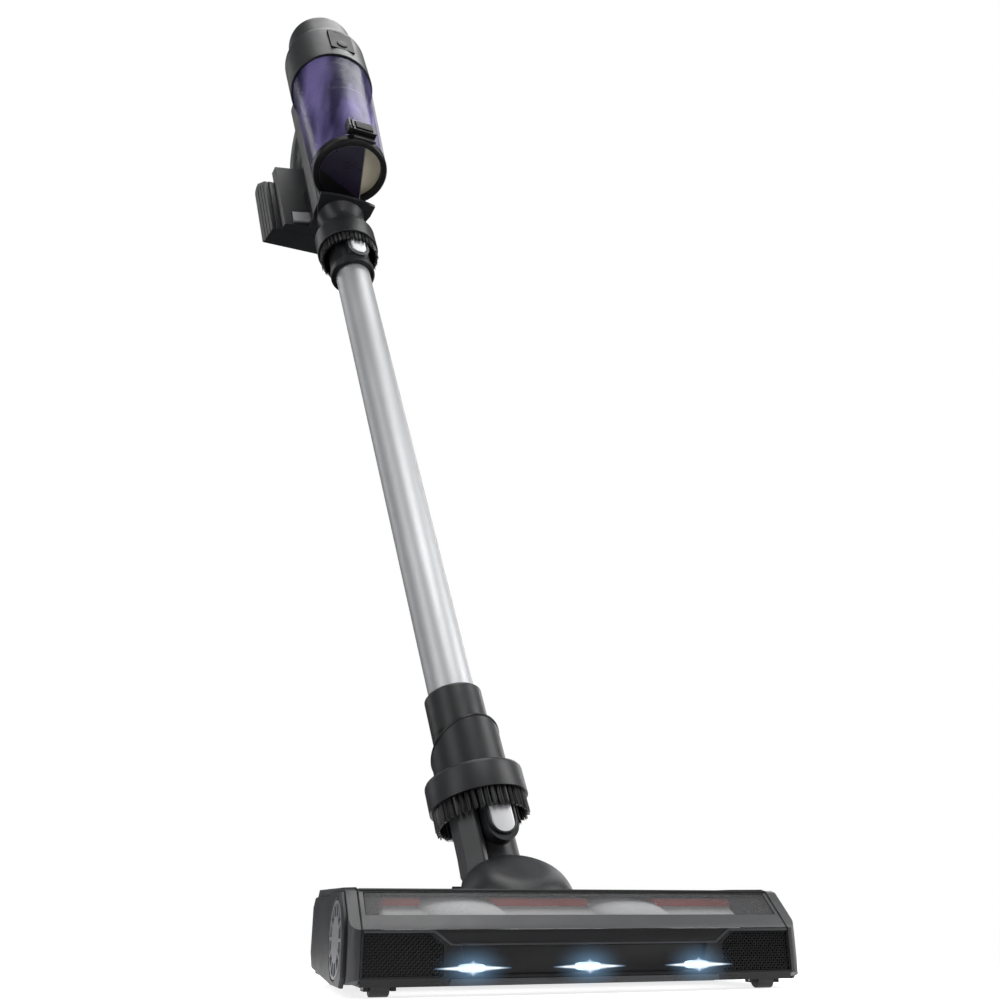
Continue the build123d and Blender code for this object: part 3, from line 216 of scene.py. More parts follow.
def fibre(name, colour):
    """Short pile or felt: painted shade between its fibres, where the pile's bumps are low, with a soft
    sheen.
    """
    material, tree, shader = nodes_of(name)
    pile = noise_node(tree, 2600.0, 3.0, 0.7)
    # painted shade: where the pile is low, between the fibres, the colour falls to 0.45 of itself
    dark = tuple(c * 0.45 for c in colour)
    tree.links.new(tint(tree, spread(tree, pile, 0, 1), dark, colour), shader.inputs["Base Color"])
    shader.inputs["Roughness"].default_value = 0.8
    shader.inputs["Sheen Weight"].default_value = 0.4
    shader.inputs["Sheen Roughness"].default_value = 0.5
    bump(tree, pile, shader, 0.0004)
    return material


def lamp(name, colour, strength):
    material, tree, shader = nodes_of(name)
    dark = tuple(c * 0.95 for c in colour)
    tree.links.new(tint(tree, spread(tree, noise_node(tree, 300.0), 0, 1), dark, colour),
                   shader.inputs["Base Color"])
    shader.inputs["Emission Color"].default_value = (*colour, 1)
    shader.inputs["Emission Strength"].default_value = strength
    return material


def shaped_glow(name, core, halo, strength):
    """Light that fades from the middle of its card to the edges in a flat four-pointed shape."""
    material, tree, shader = nodes_of(name)

    def calc(operation, *values):
        node = tree.nodes.new("ShaderNodeMath")
        node.operation = operation
        for socket, value in zip(node.inputs, values):
            if isinstance(value, (int, float)):
                socket.default_value = value
            else:
                tree.links.new(value, socket)
        return node.outputs["Value"]

    split = tree.nodes.new("ShaderNodeSeparateXYZ")
    tree.links.new(tree.nodes.new("ShaderNodeUVMap").outputs["UV"], split.inputs["Vector"])
    aside, above = (calc("ABSOLUTE", calc("SUBTRACT", split.outputs[axis], 0.5)) for axis in "XY")
    # a flat spindle of light with a small peak, and a round haze behind it
    width = calc("ADD", calc("MULTIPLY", calc("EXPONENT", calc("MULTIPLY", aside, -5.5)), 0.085),
                 calc("MULTIPLY", calc("EXPONENT", calc("MULTIPLY", aside, -60.0)), 0.02))
    star = spread(tree, calc("DIVIDE", above, calc("ADD", width, 0.004)), 1.0, 0.0, 0.35, 1.4)
    fade = spread(tree, aside, 1.0, 0.0, 0.30, 0.46)
    star = calc("MULTIPLY", star, fade)
    distance = calc("SQRT", calc("ADD", calc("MULTIPLY", aside, aside), calc("MULTIPLY", above, above)))
    haze = calc("POWER", spread(tree, distance, 1.0, 0.0, 0.0, 0.5), 2.2)
    cover = calc("ADD", star, calc("MULTIPLY", haze, 0.45))
    tree.links.new(tint(tree, star, halo, core), shader.inputs["Emission Color"])
    tree.links.new(calc("MINIMUM", cover, 1.0), shader.inputs["Alpha"])
    shader.inputs["Base Color"].default_value = (0, 0, 0, 1)
    shader.inputs["Specular IOR Level"].default_value = 0.0
    shader.inputs["Roughness"].default_value = 1.0
    shader.inputs["Emission Strength"].default_value = strength
    return material


MATERIALS = {
    "lamp_glow": shaped_glow("lamp_glow", (0.95, 0.98, 1.0), (0.30, 0.55, 0.85), 1.15),
    "charcoal_plastic": plastic("charcoal_plastic", (0.018, 0.0187, 0.0205), 0.47),
    "charcoal_satin": plastic("charcoal_satin", (0.012, 0.0125, 0.0140), 0.43, specular=0.30),
    "black_plastic": plastic("black_plastic", (0.0035, 0.0035, 0.0042), 0.40, specular=0.25),
    "gloss_black": plastic("gloss_black", (0.005, 0.005, 0.006), 0.42, grain=0.000004, specular=0.08),
    "grey_plastic": plastic("grey_plastic", (0.13, 0.13, 0.14), 0.40),
    "silver_plastic": metal("silver_plastic", (0.50, 0.50, 0.515), 0.46, 0.000006, 0.8),
    "tube_aluminium": metal("tube_aluminium", (0.40, 0.405, 0.415), 0.50, 0.000004, 0.8),
    # the bin's tone runs in long streaks from near-black violet to lavender: painted highlights and
    # painted shade inside the bin
    "bin_purple": clear("bin_purple", (0.30, 0.25, 0.58), 0.40, 0.2,
                        dark=(0.035, 0.028, 0.10), stretch=(1.4, 1.4, 0.35)),
    "window_smoked": clear("window_smoked", (0.20, 0.20, 0.205), 0.18, 0.34),
    "lid_amber": clear("lid_amber", (0.66, 0.60, 0.45), 0.88, 0.3),
    "purple_plastic": plastic("purple_plastic", (0.012, 0.009, 0.022), 0.30, vary=0.3),
    "roller_red": fibre("roller_red", (0.95, 0.05, 0.03)),
    "roller_grey": fibre("roller_grey", (0.80, 0.80, 0.81)),
    "bristle_black": plastic("bristle_black", (0.010, 0.010, 0.011), 0.45),
    "rubber_black": plastic("rubber_black", (0.012, 0.012, 0.012), 0.60),
    "seal_felt": fibre("seal_felt", (0.05, 0.05, 0.055)),
    "steel": metal("steel", (0.50, 0.50, 0.51), 0.32),
    "mesh_metal": metal("mesh_metal", (0.35, 0.35, 0.36), 0.40),
    "lamp_lens": lamp("lamp_lens", (0.70, 0.86, 1.0), 0.9),
    "filter_white": fibre("filter_white", (0.70, 0.70, 0.68)),
    "cell_blue": plastic("cell_blue", (0.03, 0.08, 0.22), 0.35),
}


# ---------------------------------------------------------------- mesh helpers
def finish_piece(name, mesh, body, slot, bevel=0.0, segments=2, angle=30.0, material=None, replaces=()):
    """Makes the object: smooth shading, an optional bevel in millimetres, its body, and its material,
    which is the slot's unless another is named.
    """
    piece = bpy.data.objects.new(name, mesh)
    scene.collection.objects.link(piece)
    mesh.shade_smooth()
    mesh.set_sharp_from_angle(angle=radians(angle))
    mesh.materials.clear()
    mesh.materials.append(MATERIALS[material or slot])
    if bevel:
        modifier = piece.modifiers.new("edges", "BEVEL")
        modifier.width = bevel / 1000
        modifier.segments = segments
        modifier.limit_method = "ANGLE"
        modifier.angle_limit = radians(angle)
        modifier.harden_normals = True
    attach(piece, body)
    if replaces:
        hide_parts(*replaces)
    return piece


def dress(node, bevel, segments, material=None):
    """A copy of a CAD node with its flat faces rejoined and its edges softened, shown in its place."""
    mesh = NODES[node].data.copy()
    bm = bmesh.new()
    bm.from_mesh(mesh)
    bmesh.ops.remove_doubles(bm, verts=bm.verts, dist=0.000004)
    bmesh.ops.dissolve_limit(bm, angle_limit=radians(0.5), verts=bm.verts, edges=bm.edges)
    bmesh.ops.recalc_face_normals(bm, faces=bm.faces)
    bm.to_mesh(mesh)
    bm.free()
    finish_piece(node + "_skin", mesh, BODY_OF[node], SLOT_OF[node], bevel, segments,
                 material=material, replaces=(node,))


def new_mesh(bm, place, name):
    """Turns a bmesh in millimetres into a mesh in metres, in the frame that place gives."""
    bmesh.ops.recalc_face_normals(bm, faces=bm.faces)
    mesh = bpy.data.meshes.new(name)
    bm.to_mesh(mesh)
    bm.free()
    mesh.transform(place)
    mesh.update()
    return mesh


def join_rings(bm, rings, close_across, caps=False):
    """Faces between neighbouring rings of points; each ring is a closed loop."""
    rows = [[bm.verts.new(point) for point in ring] for ring in rings]
    pairs = list(zip(rows, rows[1:]))
    if close_across:
        pairs.append((rows[-1], rows[0]))
    for one, other in pairs:
        for i in range(len(one)):
            j = (i + 1) % len(one)
            bm.faces.new((one[i], one[j], other[j], other[i]))
    if caps:
        bm.faces.new(rows[0])
        bm.faces.new(rows[-1])


def prism(bm, outline, low, high, place=None):
    """An XY outline carried from one Z to another, in the local frame that place gives."""
    frame_of = place or Matrix()
    rings = [[frame_of @ Vector((x, y, z)) for x, y in outline] for z in (low, high)]
    join_rings(bm, rings, False, True)


def block(bm, centre, size, place=None):
    half_x, half_y, half_z = (length / 2 for length in size)
    here = (place or Matrix()) @ shift(*centre)
    outline = [(-half_x, -half_y), (half_x, -half_y), (half_x, half_y), (-half_x, half_y)]
    prism(bm, outline, -half_z, half_z, here)


def rod(bm, points, radius, sides=8, closed=False):
    """A round bar through a list of points."""
    path = [Vector(point) for point in points]
    rings = []
    for i, here in enumerate(path):
        before = path[i - 1] if i or closed else here
        after = path[(i + 1) % len(path)] if i < len(path) - 1 or closed else here
        along = (after - before).normalized()
        side = side - side.dot(along) * along if rings else along.orthogonal()
        side.normalize()
        up = along.cross(side)
        rings.append([here + radius * (side * cos(2 * pi * k / sides) + up * sin(2 * pi * k / sides))
                      for k in range(sides)])
    join_rings(bm, rings, closed, not closed)


def shell(bm, profile_at, steps=96):
    """A closed ring whose section at each angle is the loop that profile_at gives."""
    join_rings(bm, [profile_at(2 * pi * i / steps) for i in range(steps)], True)


def arc(radius_x, radius_y, start, end, count, centre=(0.0, 0.0)):
    """Points along an ellipse between two angles in degrees."""
    angles = [radians(start + (end - start) * i / (count - 1)) for i in range(count)]
    return [(centre[0] + radius_x * cos(a), centre[1] + radius_y * sin(a)) for a in angles]


def smooth(value):
    """Eases from 0 to 1, and holds outside."""
    value = min(1.0, max(0.0, value))
    return value * value * (3 - 2 * value)


for node_name in sorted(NODES):
    cad = NODES[node_name]
    cad.data.materials.clear()
    cad.data.materials.append(MATERIALS[SLOT_OF[node_name]])

EDGES = {    # how far each piece's edges are rounded, in millimetres
    "head_top_cover": 0.8, "front_bumper": 0.4, "brush_window": 0.3,
    "end_cap_left": 2.4, "end_cap_right": 2.4, "brush_lock_dial": 0.4, "head_base": 0.5,
    "neck_elbow": 1.2, "neck_cradle": 0.8, "head_release_button": 0.5,
    "wand_lower_sleeve": 0.9, "wand_tube": 0.3, "wand_upper_connector": 0.6,
    "wand_release_button": 0.5, "upper_brush_collar": 0.8, "inlet_housing": 0.7, "spine_frame": 0.8,
    "dust_bin": 0.4, "bin_lid": 0.6, "lid_window": 0.3, "latch_frame": 0.5, "lid_latch_button": 0.4,
    "inlet_duct": 0.6, "cyclone_core": 0.4, "motor_housing": 0.8, "control_panel": 0.3,
    "power_button": 0.3, "rear_cap": 1.6, "handle_left": 0.3, "handle_right": 0.3, "trigger": 0.4,
    "battery_base": 2.6, "battery_release": 0.4, "battery_pack": 3.0,
    "rear_wheel_left": 0.3, "rear_wheel_right": 0.3,
    "front_roller_left": 0.3, "front_roller_right": 0.3,
}
SHOWN_AS = {    # pieces darker than their slot's usual finish
    "lid_latch_button": "gloss_black", "neck_cradle": "charcoal_satin",
    "battery_pack": "charcoal_satin", "battery_base": "charcoal_satin", "spine_frame": "charcoal_satin",
}
for node_name, width in EDGES.items():
    dress(node_name, width, 4 if width > 1 else 2, SHOWN_AS.get(node_name))


# ---------------------------------------------------------------- dusting brushes
def bristle_ring(node, centre_y, radii, tip, root, tufts, rng):
    """Close tufts round an ellipse in the wand's frame: a solid rib each, frayed at its tip."""
    def loop_round(centre, sideways, wide, radial, deep, sides, offset):
        angles = [2 * pi * (k + offset) / sides for k in range(sides)]
        return [centre + wide * cos(a) * sideways + deep * sin(a) * radial for a in angles]

    bm = bmesh.new()
    for tuft in range(tufts):
        middle = 2 * pi * tuft / tufts
        radial = Vector((cos(middle), sin(middle), 0))
        sideways = Vector((-sin(middle), cos(middle), 0))
        foot = Vector((radii[0] * cos(middle), centre_y + radii[1] * sin(middle), 0))
        rib = ((root, 1.55, 1.5), (tip + 3.0, 1.6, 1.6), (tip + 0.9, 1.3, 1.3), (tip + 0.3, 0.9, 0.9))
        rings = [loop_round(foot + Vector((0, 0, z)), sideways, wide, radial, deep, 8, 0.5)
                 for z, wide, deep in rib]
        join_rings(bm, rings, False, True)
        for _ in range(10):
            aside, out = rng.uniform(-1.5, 1.5), rng.uniform(-1.0, 1.7)
            lean, flare = rng.uniform(-0.3, 0.3), rng.uniform(0.0, 0.9)
            rings = []
            for z, push, width in ((root, 0.0, 0.42), (tip + rng.uniform(-0.7, 0.6), 1.0, 0.26)):
                centre = foot + (aside + push * lean) * sideways + (out + push * flare) * radial
                centre.z = z
                rings.append(loop_round(centre, sideways, width, radial, width, 4, 0.0))
            join_rings(bm, rings, False, True)
    finish_piece(node + "_tufts", new_mesh(bm, WAND, node), BODY_OF[node], "bristle_black",
                 replaces=(node,))


bristle_ring("lower_brush_bristles", -1.5, (30.6, 29.2), 62.0, 89.8, 44, random.Random(11))
bristle_ring("upper_brush_bristles", -1.0, (27.3, 26.6), 657.0, 688.5, 42, random.Random(12))

# lower collar: an oval dish and a sleeve whose upper edge dips down on the left
DISH_BOTTOM, DISH_TOP = 74.5, 94.5
SLEEVE_TOP, SLEEVE_DIP, SLEEVE_HIGH_SIDE = 129.5, 13.0, radians(-86)


def sleeve_top(angle):
    return SLEEVE_TOP - SLEEVE_DIP * (1 - cos(angle - SLEEVE_HIGH_SIDE))


def collar_section(angle):
    def at(radius_x, radius_y, centre_y, z):
        return (radius_x * cos(angle), centre_y + radius_y * sin(angle), z)

    top = sleeve_top(angle)
    rounded = [at(34.5 - 3 * (1 - cos(t)), 33.0 - 3 * (1 - cos(t)), -1.5, DISH_TOP - 3 + 3 * sin(t))
               for t in (pi * step / 8 for step in range(5))]
    return [at(34.5, 33.0, -1.5, DISH_BOTTOM)] + rounded + [
        at(26.2, 26.2, -1.0, DISH_TOP), at(25.5, 25.5, -1.0, DISH_TOP + 0.7),
        at(25.5, 25.5, -1.0, top - 0.8), at(24.8, 24.8, -1.0, top), at(23.6, 23.6, -0.6, top),
        at(23.4, 23.4, -0.5, top - 5.0), at(21.4, 21.4, 0.0, top - 6.0),
        at(21.4, 21.4, 0.0, DISH_TOP - 3.5), at(32.2, 30.7, -1.5, DISH_TOP - 4.0),
        at(32.5, 31.0, -1.5, DISH_BOTTOM)]


bm = bmesh.new()
shell(bm, collar_section, 128)
finish_piece("lower_collar_shell", new_mesh(bm, WAND, "lower_collar"), "lower_brush", "charcoal_satin",
             angle=35.0, replaces=("lower_brush_collar",))


def circle(radius, centre_y, z, count):
    """Points round the wand's axis, moved along Y; z is a height, or a function of the angle."""
    angles = [2 * pi * i / count for i in range(count)]
    return [(radius * cos(a), centre_y + radius * sin(a), z(a) if callable(z) else z) for a in angles]


# black lip along the sleeve's upper edge
bm = bmesh.new()
rod(bm, circle(24.9, -1.0, sleeve_top, 128), 1.15, 8, True)
finish_piece("lower_collar_lip", new_mesh(bm, WAND, "lower_collar_lip"), "lower_brush", "black_plastic")

# black gaskets: at the tube's foot and head, and before and behind the motor housing
for ring_name, ring_z, ring_r, thick, centre_y, body in (
    ("wand_foot_gasket", 158.0, 18.2, 1.3, 0.0, "wand"),
    ("wand_head_gasket", 633.6, 20.2, 1.9, 0.0, "wand"),
    ("bin_gasket", 896.5, 44.6, 0.8, BIN_Y, "hand_unit"),
    ("cap_gasket", 956.4, 37.3, 0.7, BIN_Y, "hand_unit"),
):
    bm = bmesh.new()
    rod(bm, circle(ring_r, centre_y, ring_z, 96), thick, 8, True)
    finish_piece(ring_name, new_mesh(bm, WAND, ring_name), body, "black_plastic")

# painted shade: a thin black sheet on the left of the wand's lower sleeve, where a recess lies in shadow
bm = bmesh.new()
outer_arc = arc(21.35, 21.35, 174, 208, 16)
inner_arc = arc(20.6, 20.6, 208, 174, 16)
prism(bm, outer_arc + inner_arc, 116.0, 129.0)
finish_piece("sleeve_painted_shade", new_mesh(bm, WAND, "sleeve_painted_shade"), "wand", "black_plastic", 0.3)


# ---------------------------------------------------------------- brush roll
ROLL_SIDES, ROLL_ROWS, ROLL_HALF = 168, 190, 103.0
CORE_R, PILE, LOBE_HIGH, ROW_HIGH = 12.5, 3.4, 4.5, 4.3    # what the lobes and the rows add to the pile
LOBE_PITCH, LOBE_MIDDLE, LOBE_TWIST, LOBE_HALF = 94.0, -56.0, 0.55, 1.40
ROW_OFFSET, ROW_HALF, ROW_EDGE, ROW_PITCH = 0.72, 0.30, 0.12, 2 * pi / 3
FACING = radians(135)    # the side of the roll that faces the window


def roll_phase(x, angle):
    return 2 * pi * (x - LOBE_MIDDLE) / LOBE_PITCH - LOBE_TWIST * (angle - FACING)


def roll_shape(x, angle):
    """Radius of the roll's surface, and whether it is one of the red rows between the soft grey lobes."""
    from_middle = (roll_phase(x, angle) + pi) % (2 * pi) - pi
    lobe = sqrt(max(0.0, 1 - (from_middle / LOBE_HALF) ** 2))
    row = (angle - FACING + ROW_OFFSET + ROW_PITCH / 2) % ROW_PITCH - ROW_PITCH / 2
    fin = smooth((ROW_HALF - abs(row)) / ROW_EDGE) * smooth(-0.6 + 2.0 * (1 - lobe))
    edge = smooth((ROLL_HALF - abs(x)) / 3.0)
    ruffle = 0.25 * noise.noise(Vector((x * 1.7, 9 * cos(angle), 9 * sin(angle))))
    radius = CORE_R + edge * (PILE + max(LOBE_HIGH * lobe, ROW_HIGH * fin) + ruffle)
    return radius, fin > 0.35 and fin > lobe


bm = bmesh.new()
roll_rows = [-ROLL_HALF + 2 * ROLL_HALF * i / (ROLL_ROWS - 1) for i in range(ROLL_ROWS)]
roll_angles = [2 * pi * k / ROLL_SIDES for k in range(ROLL_SIDES)]
rings = []
for x in roll_rows:
    radii = [roll_shape(x, a)[0] for a in roll_angles]
    rings.append([(x, r * cos(a), r * sin(a)) for r, a in zip(radii, roll_angles)])
join_rings(bm, rings, False)
bmesh.ops.recalc_face_normals(bm, faces=bm.faces)
is_red = []
for face in bm.faces:
    centre = face.calc_center_median()
    is_red.append(roll_shape(centre.x, atan2(centre.z, centre.y))[1])
roll = finish_piece("brush_roll_pile", new_mesh(bm, ROLL, "brush_roll_pile"), "brush_roll", "roller_red",
                    angle=60.0, material="roller_grey", replaces=("brush_sleeve",))
roll.data.materials.append(MATERIALS["roller_red"])
roll.data.polygons.foreach_set("material_index", [1 if red else 0 for red in is_red])

# ---------------------------------------------------------------- bumper: mesh panels, trim and lamps
FRONT = HEAD @ shift(0, -60.0, 0) @ turn("X", 90)    # local X along the head, Y up, +Z forwards


def clip_line(start, along, outline):
    """The part of a line inside a convex outline, or None."""
    enter, leave = -1e6, 1e6
    for (x0, y0), (x1, y1) in zip(outline, outline[1:] + outline[:1]):
        normal = Vector((y0 - y1, x1 - x0))
        ahead = normal.dot(along)
        distance = normal.dot(start - Vector((x0, y0)))
        if abs(ahead) < 1e-9:
            if distance < 0:
                return None
        elif ahead > 0:
            enter = max(enter, -distance / ahead)
        else:
            leave = min(leave, -distance / ahead)
    return (start + enter * along, start + leave * along) if leave - enter > 1.0 else None


PANEL = [(-116.8, 9.8), (-77.3, 9.8), (-77.3, 22.8), (-84.1, 28.3), (-116.8, 28.3)]
WIRE_PITCH = 1.7
bm = bmesh.new()
for mirror in (-1, 1):
    outline = PANEL if mirror < 0 else [(-x, y) for x, y in reversed(PANEL)]
    middle = Vector((mirror * 97.0, 19.0))
    for tilt in (45, 135):
        along = Vector((cos(radians(tilt)), sin(radians(tilt))))
        across = Vector((-along.y, along.x))
        for step in range(-17, 18):
            span = clip_line(middle + across * step * WIRE_PITCH, along, outline)
            if span:
                centre = (span[0] + span[1]) / 2
                place = shift(centre.x, centre.y, -0.85) @ turn("Z", tilt)
                block(bm, (0, 0, 0), ((span[1] - span[0]).length, 0.55, 0.7), place)
finish_piece("bumper_mesh", new_mesh(bm, FRONT, "bumper_mesh"), "head", "black_plastic")

# light rim over each panel that runs down its slanting end, and the ridge over the lamp recess
bm = bmesh.new()
for mirror in (-1, 1):
    rim = [(mirror * x, y, 0.0) for x, y in ((117.2, 29.6), (82.0, 29.6), (80.6, 28.9), (72.8, 23.4))]
    rod(bm, rim, 0.62, 6)
rod(bm, [(-72.8, 23.5, 0.0), (72.8, 23.5, 0.0)], 0.45, 6)
finish_piece("bumper_rim", new_mesh(bm, FRONT, "bumper_rim"), "head", "charcoal_plastic")

# paler lip under the lamps: a lighter plastic, whose paleness also stands in for the lamps' light falling
# on it, painted light
bm = bmesh.new()
prism(bm, [(-74.0, 5.3), (74.0, 5.3), (73.0, 8.0), (-73.0, 8.0)], -0.2, 0.5)
finish_piece("bumper_lip_with_painted_lamplight", new_mesh(bm, FRONT, "bumper_lip_with_painted_lamplight"), "head", "charcoal_plastic", 0.3)

# lamp lenses, bulging a little out of their slots
LAMPS_X, LAMP_Y, LAMP_HALF = (-62.0, 0.0, 62.0), 12.7, (7.1, 1.9)


def squared(value):
    """Turns the sine and cosine of a circle into those of a rounded rectangle."""
    return abs(value) ** 0.6 * (1 if value > 0 else -1)


bm = bmesh.new()
for lamp_x in LAMPS_X:
    rings = []
    for depth, grow in ((-2.6, 1.0), (-1.4, 1.0), (-0.7, 0.86), (-0.35, 0.5)):
        rings.append([(lamp_x + LAMP_HALF[0] * grow * squared(cos(a)),
                       LAMP_Y + LAMP_HALF[1] * grow * squared(sin(a)), depth)
                      for a in (2 * pi * i / 32 for i in range(32))])
    join_rings(bm, rings, False, True)
finish_piece("lamp_lenses", new_mesh(bm, FRONT, "lamp_lenses"), "head", "lamp_lens", angle=50.0,
             replaces=("headlight_lenses",))

# the light that spills from each lamp: a thin card whose glow fades out from its middle
GLOW_HALF, GLOW_CELLS, GLOW_AHEAD = (22.0, 13.0), (16, 8), 0.75
for number, lamp_x in enumerate(LAMPS_X, 1):
    bm = bmesh.new()
    grid = [[bm.verts.new((lamp_x + GLOW_HALF[0] * (2 * i / GLOW_CELLS[0] - 1),
                           LAMP_Y + GLOW_HALF[1] * (2 * j / GLOW_CELLS[1] - 1), GLOW_AHEAD))
             for i in range(GLOW_CELLS[0] + 1)] for j in range(GLOW_CELLS[1] + 1)]
    uv_layer = bm.loops.layers.uv.new("glow")
    for j in range(GLOW_CELLS[1]):
        for i in range(GLOW_CELLS[0]):
            face = bm.faces.new((grid[j][i], grid[j][i + 1], grid[j + 1][i + 1], grid[j + 1][i]))
            for loop, (u, v) in zip(face.loops, ((i, j), (i + 1, j), (i + 1, j + 1), (i, j + 1))):
                loop[uv_layer].uv = (u / GLOW_CELLS[0], v / GLOW_CELLS[1])
    mesh = new_mesh(bm, FRONT, f"lamp_glow_{number}")
    finish_piece(f"lamp_glow_{number}", mesh, "head", "lamp_lens", material="lamp_glow")

# thin black line along the window's upper edge and the joint lines at the two end bands
BAND_X = 118.0
BAND_SIDE = ((-60.1, 9.0), (-60.1, 30.5), (-54.1, 36.7), (-41.7, 48.6), (-37.0, 49.7), (0.0, 50.2),
             (48.0, 50.2))
bm = bmesh.new()
rod(bm, [(-117.0, -41.3, 48.9), (117.0, -41.3, 48.9)], 0.7, 6)
for mirror in (-1, 1):
    rod(bm, [(mirror * BAND_X, y, z) for y, z in BAND_SIDE], 0.42, 6)
finish_piece("cover_seams", new_mesh(bm, HEAD, "cover_seams"), "head", "black_plastic")

# ---------------------------------------------------------------- neck
# In the elbow's frame the tube stands at Y = 17 and the button's boss faces -Y.
STEER_AXIS = Vector((0.0, -sin(radians(STEER_TILT)), cos(radians(STEER_TILT))))
CRADLE_CLEAR = 6.0       # how far up the steering axis the facet's foot stays, over the cradle


def facet_section(left, z):
    back = 20.0 + (19.0 + left) * 0.2
    outline = [(-14.0, 20.0), (left, back), (left - 1.2, 6.0), (-16.0, -3.5), (-12.5, -2.6), (-12.5, 9.0)]
    return [(x, y, z) for x, y in outline]


# paler facet on the left of the neck; its foot ends above the cradle, which turns under it
bm = bmesh.new()
flare = ((-23.5, 79.0), (-23.5, 40.0), (-24.3, 25.0), (-27.0, 12.0), (-29.5, 3.0))
join_rings(bm, [facet_section(left, z) for left, z in flare], False, True)
cut = bmesh.ops.bisect_plane(bm, geom=bm.verts[:] + bm.edges[:] + bm.faces[:],
                             plane_co=STEER_AXIS * CRADLE_CLEAR, plane_no=STEER_AXIS, clear_inner=True)
cut_edges = [item for item in cut["geom_cut"] if isinstance(item, bmesh.types.BMEdge)]
bmesh.ops.contextual_create(bm, geom=cut_edges)
finish_piece("neck_facet", new_mesh(bm, ELBOW, "neck_facet"), "neck_elbow", "charcoal_plastic", 0.9, 3)

# rim round the release button, open at its upper end
RIM_R, RIM_Y = 9.6, -10.0
bm = bmesh.new()
rim_foot = [(RIM_R * cos(a), RIM_Y, 54.5 + RIM_R * sin(a)) for a in (pi + pi * i / 16 for i in range(17))]
rim_left = [(-RIM_R, RIM_Y, 74.0), (-RIM_R, RIM_Y, 66.0)]
rim_right = [(RIM_R, RIM_Y, 66.0), (RIM_R, RIM_Y, 74.0)]
rod(bm, rim_left + rim_foot + rim_right, 1.15, 8)
finish_piece("neck_button_rim", new_mesh(bm, ELBOW, "neck_button_rim"), "neck_elbow", "charcoal_satin")

# small black mark on the button
bm = bmesh.new()
block(bm, (0.0, -11.1, 64.8), (4.6, 0.9, 2.8))
finish_piece("neck_button_mark", new_mesh(bm, ELBOW, "neck_button_mark"), "head_button",
             "black_plastic", 0.2)

# three short ribs on the left foot of the swivel's dome
RIB_FOOT_R, RIB_FOOT_Z, RIB_IN, RIB_UP, RIB_CURL = 36.2, 9.5, 6.5, 11.0, 0.16
bm = bmesh.new()
for azimuth, reach in ((205, 1.0), (214, 0.85), (223, 0.7)):
    rib = []
    for t in (0.0, 0.33, 0.66, 1.0):
        a = radians(azimuth) + RIB_CURL * t
        radius = RIB_FOOT_R - RIB_IN * t * reach
        rib.append((radius * cos(a), radius * sin(a), RIB_FOOT_Z + RIB_UP * t * reach))
    rod(bm, rib, 0.8, 8)
finish_piece("dome_ribs", new_mesh(bm, TURRET @ turn("Z", STEER), "dome_ribs"), "neck_elbow",
             "charcoal_satin")

# ---------------------------------------------------------------- bin, lid and spine
LID_Y, LID_R = -44.0, 32.6  # the lid's middle, and a radius just inside its rim
RIGHT_CUT = (5.0, 19.0)     # the lid panel's right edge, at the latch end and at the hinge end
PANEL_LOW, PANEL_HIGH = 746.9, 748.1
FOOT_SHRINK = 0.975         # lets the dark foot pass the hinge's lugs as the lid opens


def lid_angle(x, hinge_end):
    y = sqrt(LID_R ** 2 - x * x)
    return degrees(atan2(y if hinge_end else -y, x))


# dark panel behind the lid's window, all but a crescent at its right
start, end = lid_angle(RIGHT_CUT[1], True), 360 + lid_angle(RIGHT_CUT[0], False)
panel_outline = arc(LID_R, LID_R, start, end, 40, (0.0, LID_Y))
bm = bmesh.new()
prism(bm, panel_outline, PANEL_LOW, PANEL_HIGH)
finish_piece("lid_panel", new_mesh(bm, WAND, "lid_panel"), "bin_lid", "black_plastic", 0.3,
             material="purple_plastic")
bm = bmesh.new()
low_part = [(FOOT_SHRINK * x, LID_Y + FOOT_SHRINK * (y - LID_Y)) for x, y in panel_outline
            if y > LID_Y + 2.0]
prism(bm, low_part, PANEL_LOW - 0.15, PANEL_LOW + 0.1)
finish_piece("lid_panel_foot", new_mesh(bm, WAND, "lid_panel_foot"), "bin_lid", "black_plastic", 0.06)
bm = bmesh.new()
rod(bm, [(RIGHT_CUT[0], LID_Y - 32.0, 747.0), (RIGHT_CUT[1], LID_Y + 26.4, 747.0)], 0.6, 6)
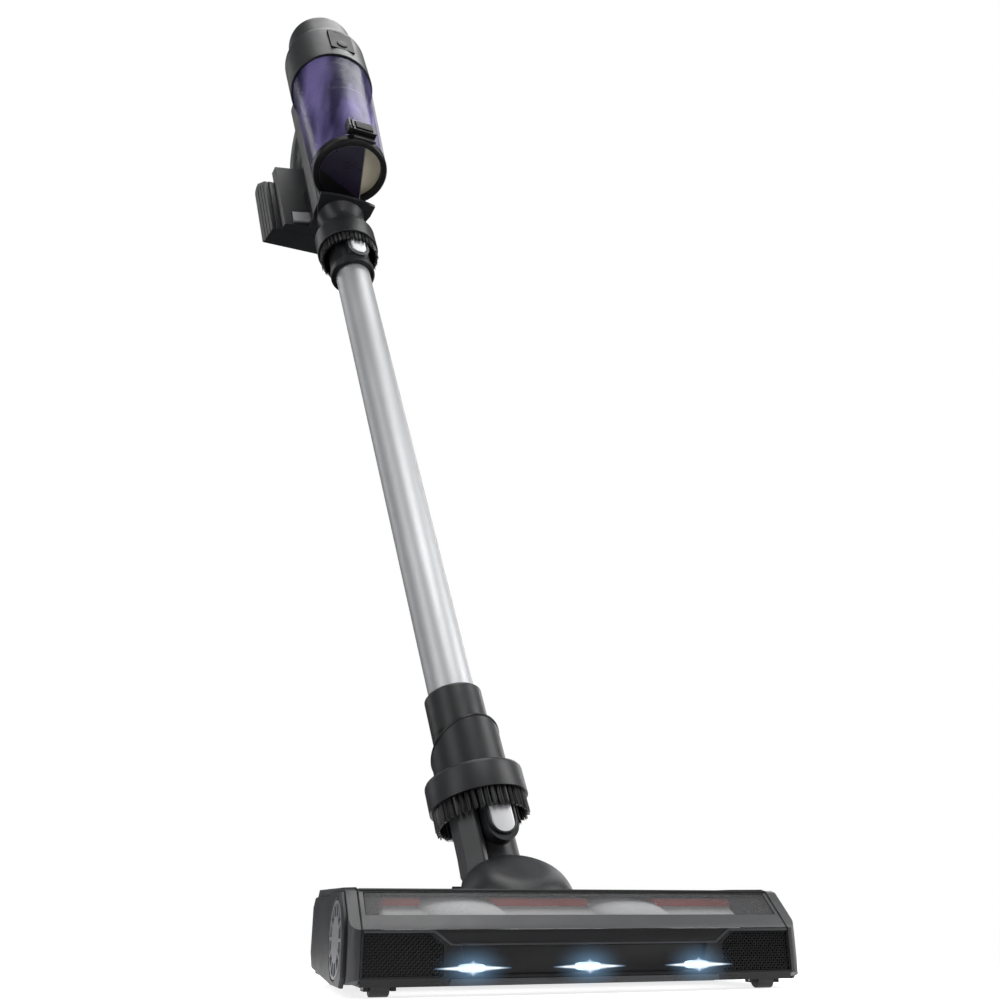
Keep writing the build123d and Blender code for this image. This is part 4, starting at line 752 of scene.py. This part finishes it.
finish_piece("lid_panel_edge", new_mesh(bm, WAND, "lid_panel_edge"), "bin_lid", "grey_plastic")

# two lugs beside the latch, on its left
bm = bmesh.new()
for lug_x in (-14.2, -10.6):
    block(bm, (lug_x, -89.4, 766.0), (1.6, 2.6, 14.5))
finish_piece("latch_lugs", new_mesh(bm, WAND, "latch_lugs"), "hand_unit", "black_plastic", 0.3)

# pale edges of the spine, on both sides of the bin
SPINE_SIDE = ((24.6, -13.2, 894.0), (24.8, -12.8, 820.0), (24.8, -12.4, 745.0), (24.0, -11.0, 738.5))
bm = bmesh.new()
for mirror in (-1, 1):
    rod(bm, [(mirror * x, y, z) for x, y, z in SPINE_SIDE], 1.0, 8)
finish_piece("spine_edge", new_mesh(bm, WAND, "spine_edge"), "hand_unit", "grey_plastic")

# ---------------------------------------------------------------- floor
# a white patch under the head that fades out into the backdrop and takes the contact shadow
FLOOR_R = 0.42
bm = bmesh.new()
bmesh.ops.create_circle(bm, cap_ends=True, segments=96, radius=FLOOR_R)
floor_mesh = bpy.data.meshes.new("floor")
bm.to_mesh(floor_mesh)
bm.free()
floor = bpy.data.objects.new("floor", floor_mesh)
scene.collection.objects.link(floor)
floor_material, floor_tree, floor_shader = nodes_of("floor")
floor_shader.inputs["Base Color"].default_value = (0.75, 0.75, 0.75, 1)
floor_shader.inputs["Roughness"].default_value = 0.9
floor_shader.inputs["Specular IOR Level"].default_value = 0.0
floor_shader.inputs["Emission Color"].default_value = (1, 1, 1, 1)
floor_shader.inputs["Emission Strength"].default_value = 0.78
floor_coords = floor_tree.nodes.new("ShaderNodeTexCoord")
floor_distance = floor_tree.nodes.new("ShaderNodeVectorMath")
floor_distance.operation = "LENGTH"
floor_tree.links.new(floor_coords.outputs["Object"], floor_distance.inputs[0])
floor_fade = spread(floor_tree, floor_distance.outputs["Value"], 1.0, 0.0, 0.55 * FLOOR_R, FLOOR_R)
floor_tree.links.new(floor_fade, floor_shader.inputs["Alpha"])
floor_mesh.materials.append(floor_material)
